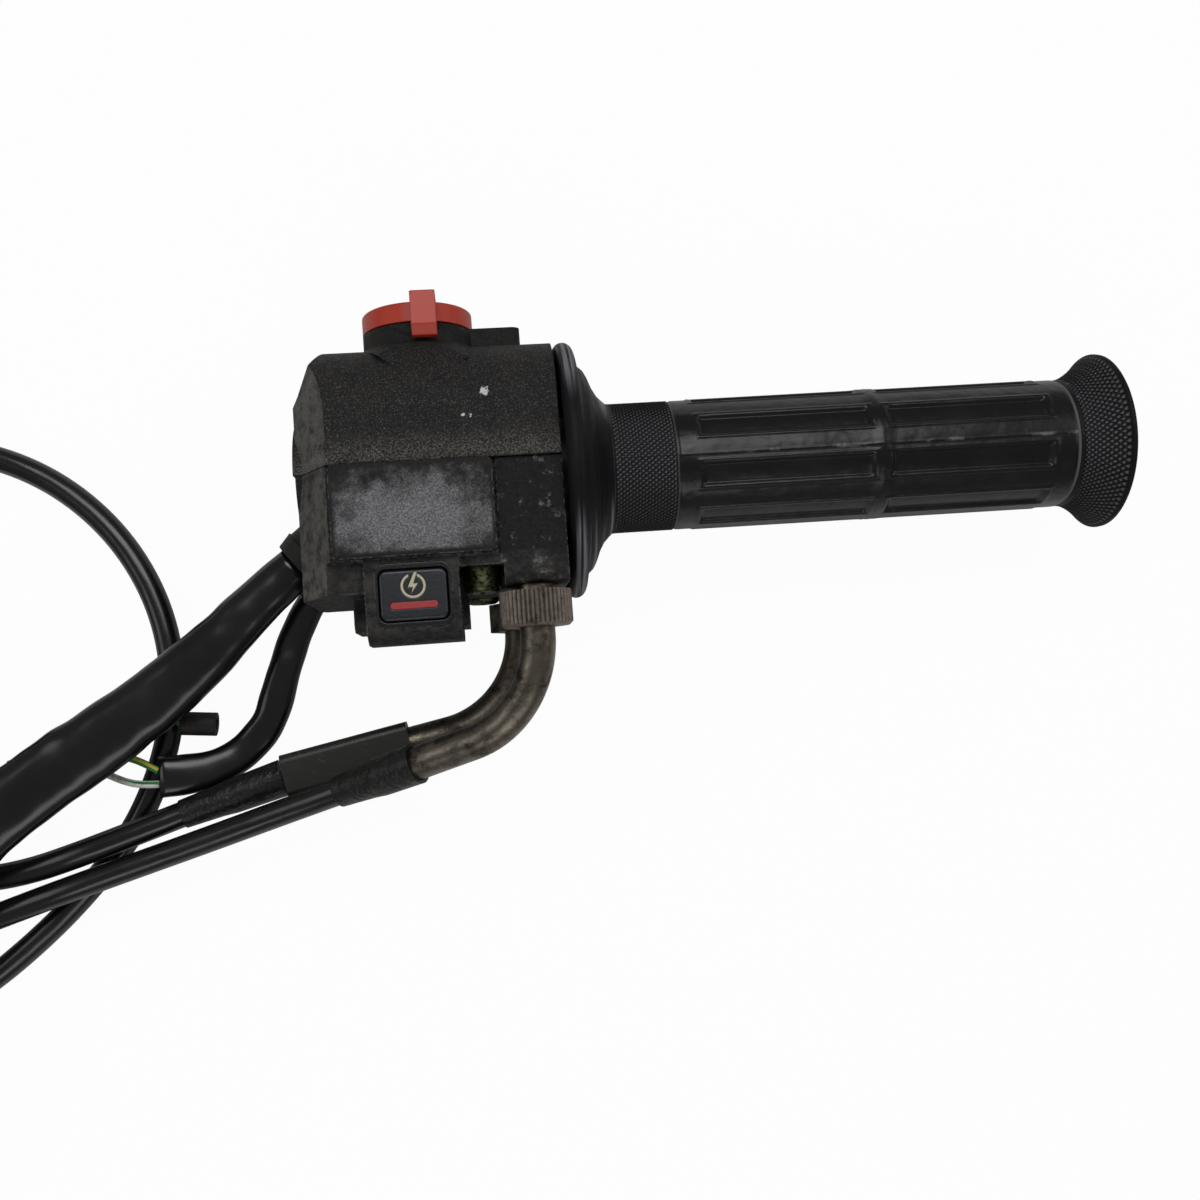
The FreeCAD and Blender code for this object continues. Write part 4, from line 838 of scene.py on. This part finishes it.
def grip_profile():
    """The rubber's outline as points (x, radius): the outer skin, then the end and the bore."""
    skin = []
    for a in np.radians(np.arange(-130, 136, 8.5)):
        skin.append((BEAD_X + BEAD_R * math.sin(a), BEAD_CENTRE + BEAD_R * math.cos(a)))
    xs, rs = np.array([(BEAD_X + x * MM, BEAD_CENTRE + r * MM) for x, r in CONE]).T
    dense = np.linspace(0, 1, 26)
    spaced = np.linspace(0, 1, len(xs))
    skin += list(zip(np.interp(dense, spaced, xs), np.interp(dense, spaced, rs)))
    skin += [(COLLAR_X[0] - 0.0005, BODY_R + 0.0004), (COLLAR_X[0] - 0.0002, BODY_R - 0.0002)]
    for x in np.arange(COLLAR_X[0], COLLAR_X[1] - 0.0002, 0.00025):
        skin.append((x, BODY_R))
    body_rows = np.arange(COLLAR_X[1], FLARE_X, 0.0005)
    for x in body_rows:
        # the body widens a little outwards, with a groove at each end and a low bead in its middle
        share = (x - body_rows[0]) / (body_rows[-1] - body_rows[0])
        dip = -0.0005 * math.exp(-(((x - COLLAR_X[1]) / 0.0004) ** 2))
        dip -= 0.0005 * math.exp(-(((x - FLARE_X + 0.0004) / 0.0004) ** 2))
        bead = 0.00035 * math.exp(-(((x - MIDDLE_BEAD_X) / 0.0016) ** 2))
        skin.append((x, BODY_R - 0.0001 + 0.0002 * share + dip + bead))
    for share in np.linspace(0, 1, 50):
        x = FLARE_X + share * (GRIP_END_X - FLARE_X - 0.0012)
        skin.append((x, BODY_R + (FLARE_R - BODY_R) * share**1.7))
    end, inside = GRIP_END_X, COLLAR_X[0]
    end_and_bore = [
        (end - 0.0005, FLARE_R - 0.0001), (end - 0.0001, FLARE_R - 0.0006), (end, FLARE_R - 0.0012),
        (end - 0.0002, FLARE_R - 0.0020), (end - 0.0016, BODY_R - 0.0010), (end - 0.0012, 0.0090),
        (end - 0.0010, 0.0004), (end - 0.0029, 0.0004), (end - 0.0030, TUBE_R + 0.00005),
        (inside - 0.0026, TUBE_R + 0.00005), (inside - 0.0040, TUBE_R + 0.0012),
        (BEAD_X + 0.0042, BEAD_CENTRE - 0.0106), (BEAD_X + 0.0020, BEAD_CENTRE - 0.0064),
        (BEAD_X + 0.0003, BEAD_CENTRE - 0.0036),
    ]
    return skin, end_and_bore


class THROTTLE_OT_grip_rubber(bpy.types.Operator):
    """Models the grip rubber: rolled flange, cone, knurled collar, panelled body and knurled flare"""

    bl_idname = "throttle_grip.grip_rubber"
    bl_label = "Grip rubber"

    def execute(self, context):
        settings = context.scene.throttle_grip_rubber
        skin, end_and_bore = grip_profile()
        rows = np.array(skin + end_and_bore)
        outer = np.arange(len(rows))[:, None] < len(skin)
        # angles run from +Z towards +Y
        angle = np.arange(GRIP_AROUND) * 2 * math.pi / GRIP_AROUND
        x = rows[:, :1] + 0 * angle
        radius = rows[:, 1:] + 0 * angle
        knurled = knurl_height(x, angle, settings.knurls, settings.knurl_length, settings.knurl_depth)
        collar = smooth_step(COLLAR_X[0] + 0.0002, COLLAR_X[0] + 0.0007, x)
        collar = collar * smooth_step(COLLAR_X[1] - 0.0002, COLLAR_X[1] - 0.0006, x)
        flare = smooth_step(FLARE_X + 0.0008, FLARE_X + 0.0016, x)
        flare = flare * smooth_step(GRIP_END_X - 0.0014, GRIP_END_X - 0.0020, x)
        radius = radius + np.where(outer, knurled * (collar + flare), 0)
        body = (x > COLLAR_X[1] + 0.001) & (x < FLARE_X - 0.0006) & outer
        radius = radius + np.where(body, panel_height(x, angle, BODY_R, settings.panel_depth), 0)
        # the mould's parting seam is a fine raised line along both sides
        from_seam = np.abs(np.mod(np.degrees(angle) - SEAM_ANGLE + 90, 180) - 90)
        seam = np.exp(-((np.radians(from_seam) * BODY_R / SEAM_WIDTH) ** 2))
        seam = seam * smooth_step(BEAD_X + 0.003, BEAD_X + 0.006, x)
        radius = radius + np.where(outer, SEAM_HEIGHT * seam, 0)
        points = np.stack([x, radius * np.sin(angle), radius * np.cos(angle)], axis=2).reshape(-1, 3)
        around = GRIP_AROUND
        faces = ring_faces(len(rows), around, False)
        last = (len(rows) - 1) * around
        faces += [(last + j, last + (j + 1) % around, (j + 1) % around, j) for j in range(around)]
        grip = new_mesh("grip_rubber_moulding", points, faces)
        place_piece(grip, "throttle", "grip_rubber", moulded_grip_rubber(settings), *GRIP_NODES)
        tube = moulded_abs("moulded_nylon_tube", linear("#141414"), linear("#3A3937"), 0.4)
        paint_nodes(tube, "throttle_tube", "throttle_drum")
        return {"FINISHED"}


class THROTTLE_OT_housing(bpy.types.Operator):
    """Finishes the two case halves and the screws that close them"""

    bl_idname = "throttle_grip.housing"
    bl_label = "Housing"

    def execute(self, context):
        paint_nodes(painted_cast_aluminium(context.scene.throttle_housing), "case_upper", "case_lower")
        zinc = zinc_plated_steel(context.scene.throttle_fittings)
        paint_nodes(zinc, "case_screws", "case_screw_washers", "kill_rotor_screw", "start_base_screws")
        return {"FINISHED"}


class THROTTLE_OT_elbows(bpy.types.Operator):
    """Finishes the cable elbows, their nuts, the adjuster and its cover, and the boots"""

    bl_idname = "throttle_grip.elbows"
    bl_label = "Elbows and boots"

    def execute(self, context):
        fittings = context.scene.throttle_fittings
        bronzed = bronzed_steel_tube(fittings)
        paint_nodes(bronzed, "return_elbow", "pull_elbow", "pull_adjuster", "pull_adjuster_locknut")
        paint_nodes(knurled_steel(fittings), "return_elbow_nut")
        paint_nodes(bronzed_steel_tube(fittings), "pull_elbow_nut")
        rubber = moulded_boot_rubber(fittings, "wrinkled_boot_rubber", 0.36, 0.0009)
        paint_nodes(rubber, "pull_boot", "return_boot")
        aged = moulded_abs("moulded_vinyl_cover", linear("#1E1C1A"), linear("#4A453E"), 0.36, 0.8)
        paint_nodes(aged, "pull_adjuster_cover")
        return {"FINISHED"}


class THROTTLE_OT_stop_switch(bpy.types.Operator):
    """Finishes the stop switch: knob, rotor and base"""

    bl_idname = "throttle_grip.stop_switch"
    bl_label = "Stop switch"

    def execute(self, context):
        settings = context.scene.throttle_switches
        red = moulded_abs("moulded_red_abs", settings.red, settings.faded_red, 0.42, 0.55, 2.2)
        paint_nodes(red, "kill_knob")
        brown = moulded_abs("moulded_phenolic_base", settings.insulator, linear("#5A4632"), 0.5)
        paint_nodes(brown, "kill_rotor", "kill_base", "start_base")
        return {"FINISHED"}


# the start button's spring, as in CAD: it stands on the base, and shortens as far as the button travels
SPRING_AT = (0.0057, -0.0293)
SPRING_Z = (0.01242, 0.02018)
SPRING_R = 0.0030
SPRING_WIRE_R = 0.00035
SPRING_TURNS = 5
SPRING_STEPS_PER_TURN = 32


class THROTTLE_OT_start_switch(bpy.types.Operator):
    """Finishes the start switch: button, sign, bar and surround, and models the button's spring"""

    bl_idname = "throttle_grip.start_switch"
    bl_label = "Start switch"

    def execute(self, context):
        settings = context.scene.throttle_switches
        # node, material, colour, worn colour, roughness, wear and the size of its marks
        finishes = [
            ("start_button", "moulded_slate_abs", settings.slate, "#5A6470", 0.3, 0.35, 2.0),
            ("start_bezel", "moulded_black_abs", settings.surround, "#2A2A2A", 0.22, 0.4, 1.6),
            ("start_symbol", "cream_enamel_fill", settings.cream, "#8E8770", 0.45, 0.6, 0.8),
            ("start_bar", "red_enamel_fill", settings.bar, "#7E2A2A", 0.4, 0.4, 1.6),
        ]
        for node, name, colour, worn, roughness, wear, size in finishes:
            paint_nodes(moulded_abs(name, colour, linear(worn), roughness, wear, size), node)
        turn = np.linspace(0, 2 * math.pi * SPRING_TURNS, SPRING_TURNS * SPRING_STEPS_PER_TURN + 1)
        low, high = SPRING_Z[0] + SPRING_WIRE_R, SPRING_Z[1] - SPRING_WIRE_R
        height = low + (high - low) * turn / turn[-1]
        circle = np.array(SPRING_AT) + SPRING_R * np.stack([np.cos(turn), np.sin(turn)], axis=1)
        wide = 2 * SPRING_WIRE_R / MM
        helix = np.column_stack([circle, height])
        coil = sleeve("start_return_spring", helix, [(0, wide, wide)], around=12)
        steel = bare_steel(context.scene.throttle_fittings)
        place_piece(coil, "housing", "spring_steel", steel, "start_spring")
        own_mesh(coil)
        return {"FINISHED"}


class THROTTLE_PT_panel(bpy.types.Panel):
    """Lists the steps that build the throttle grip"""

    bl_idname = "THROTTLE_PT_panel"
    bl_label = "Throttle Grip"
    bl_space_type = "VIEW_3D"
    bl_region_type = "UI"
    bl_category = "Throttle Grip"

    def draw(self, context):
        for operator in OPERATORS:
            self.layout.operator(operator.bl_idname)
        for name in SETTINGS:
            box = self.layout.box()
            group = getattr(context.scene, name)
            for prop in group.bl_rna.properties:
                if prop.identifier not in ("rna_type", "name"):
                    box.prop(group, prop.identifier)


OPERATORS = [
    THROTTLE_OT_stage,
    THROTTLE_OT_throttle_cables,
    THROTTLE_OT_wiring,
    THROTTLE_OT_grip_rubber,
    THROTTLE_OT_housing,
    THROTTLE_OT_elbows,
    THROTTLE_OT_stop_switch,
    THROTTLE_OT_start_switch,
]
SETTINGS = {
    "throttle_stage": StageSettings,
    "throttle_cords": CordSettings,
    "throttle_grip_rubber": GripSettings,
    "throttle_housing": HousingSettings,
    "throttle_fittings": FittingSettings,
    "throttle_switches": SwitchSettings,
}


CLASSES = [*SETTINGS.values(), *OPERATORS, THROTTLE_PT_panel]


def register():
    for cls in CLASSES:
        bpy.utils.register_class(cls)
    for name, cls in SETTINGS.items():
        setattr(bpy.types.Scene, name, PointerProperty(type=cls))


def unregister():
    for name in SETTINGS:
        delattr(bpy.types.Scene, name)
    for cls in reversed(CLASSES):
        bpy.utils.unregister_class(cls)


def main():
    register()
    for operator in OPERATORS:
        step = operator.bl_idname.split(".")[1]
        getattr(bpy.ops.throttle_grip, step)()


if __name__ == "__main__":
    main()
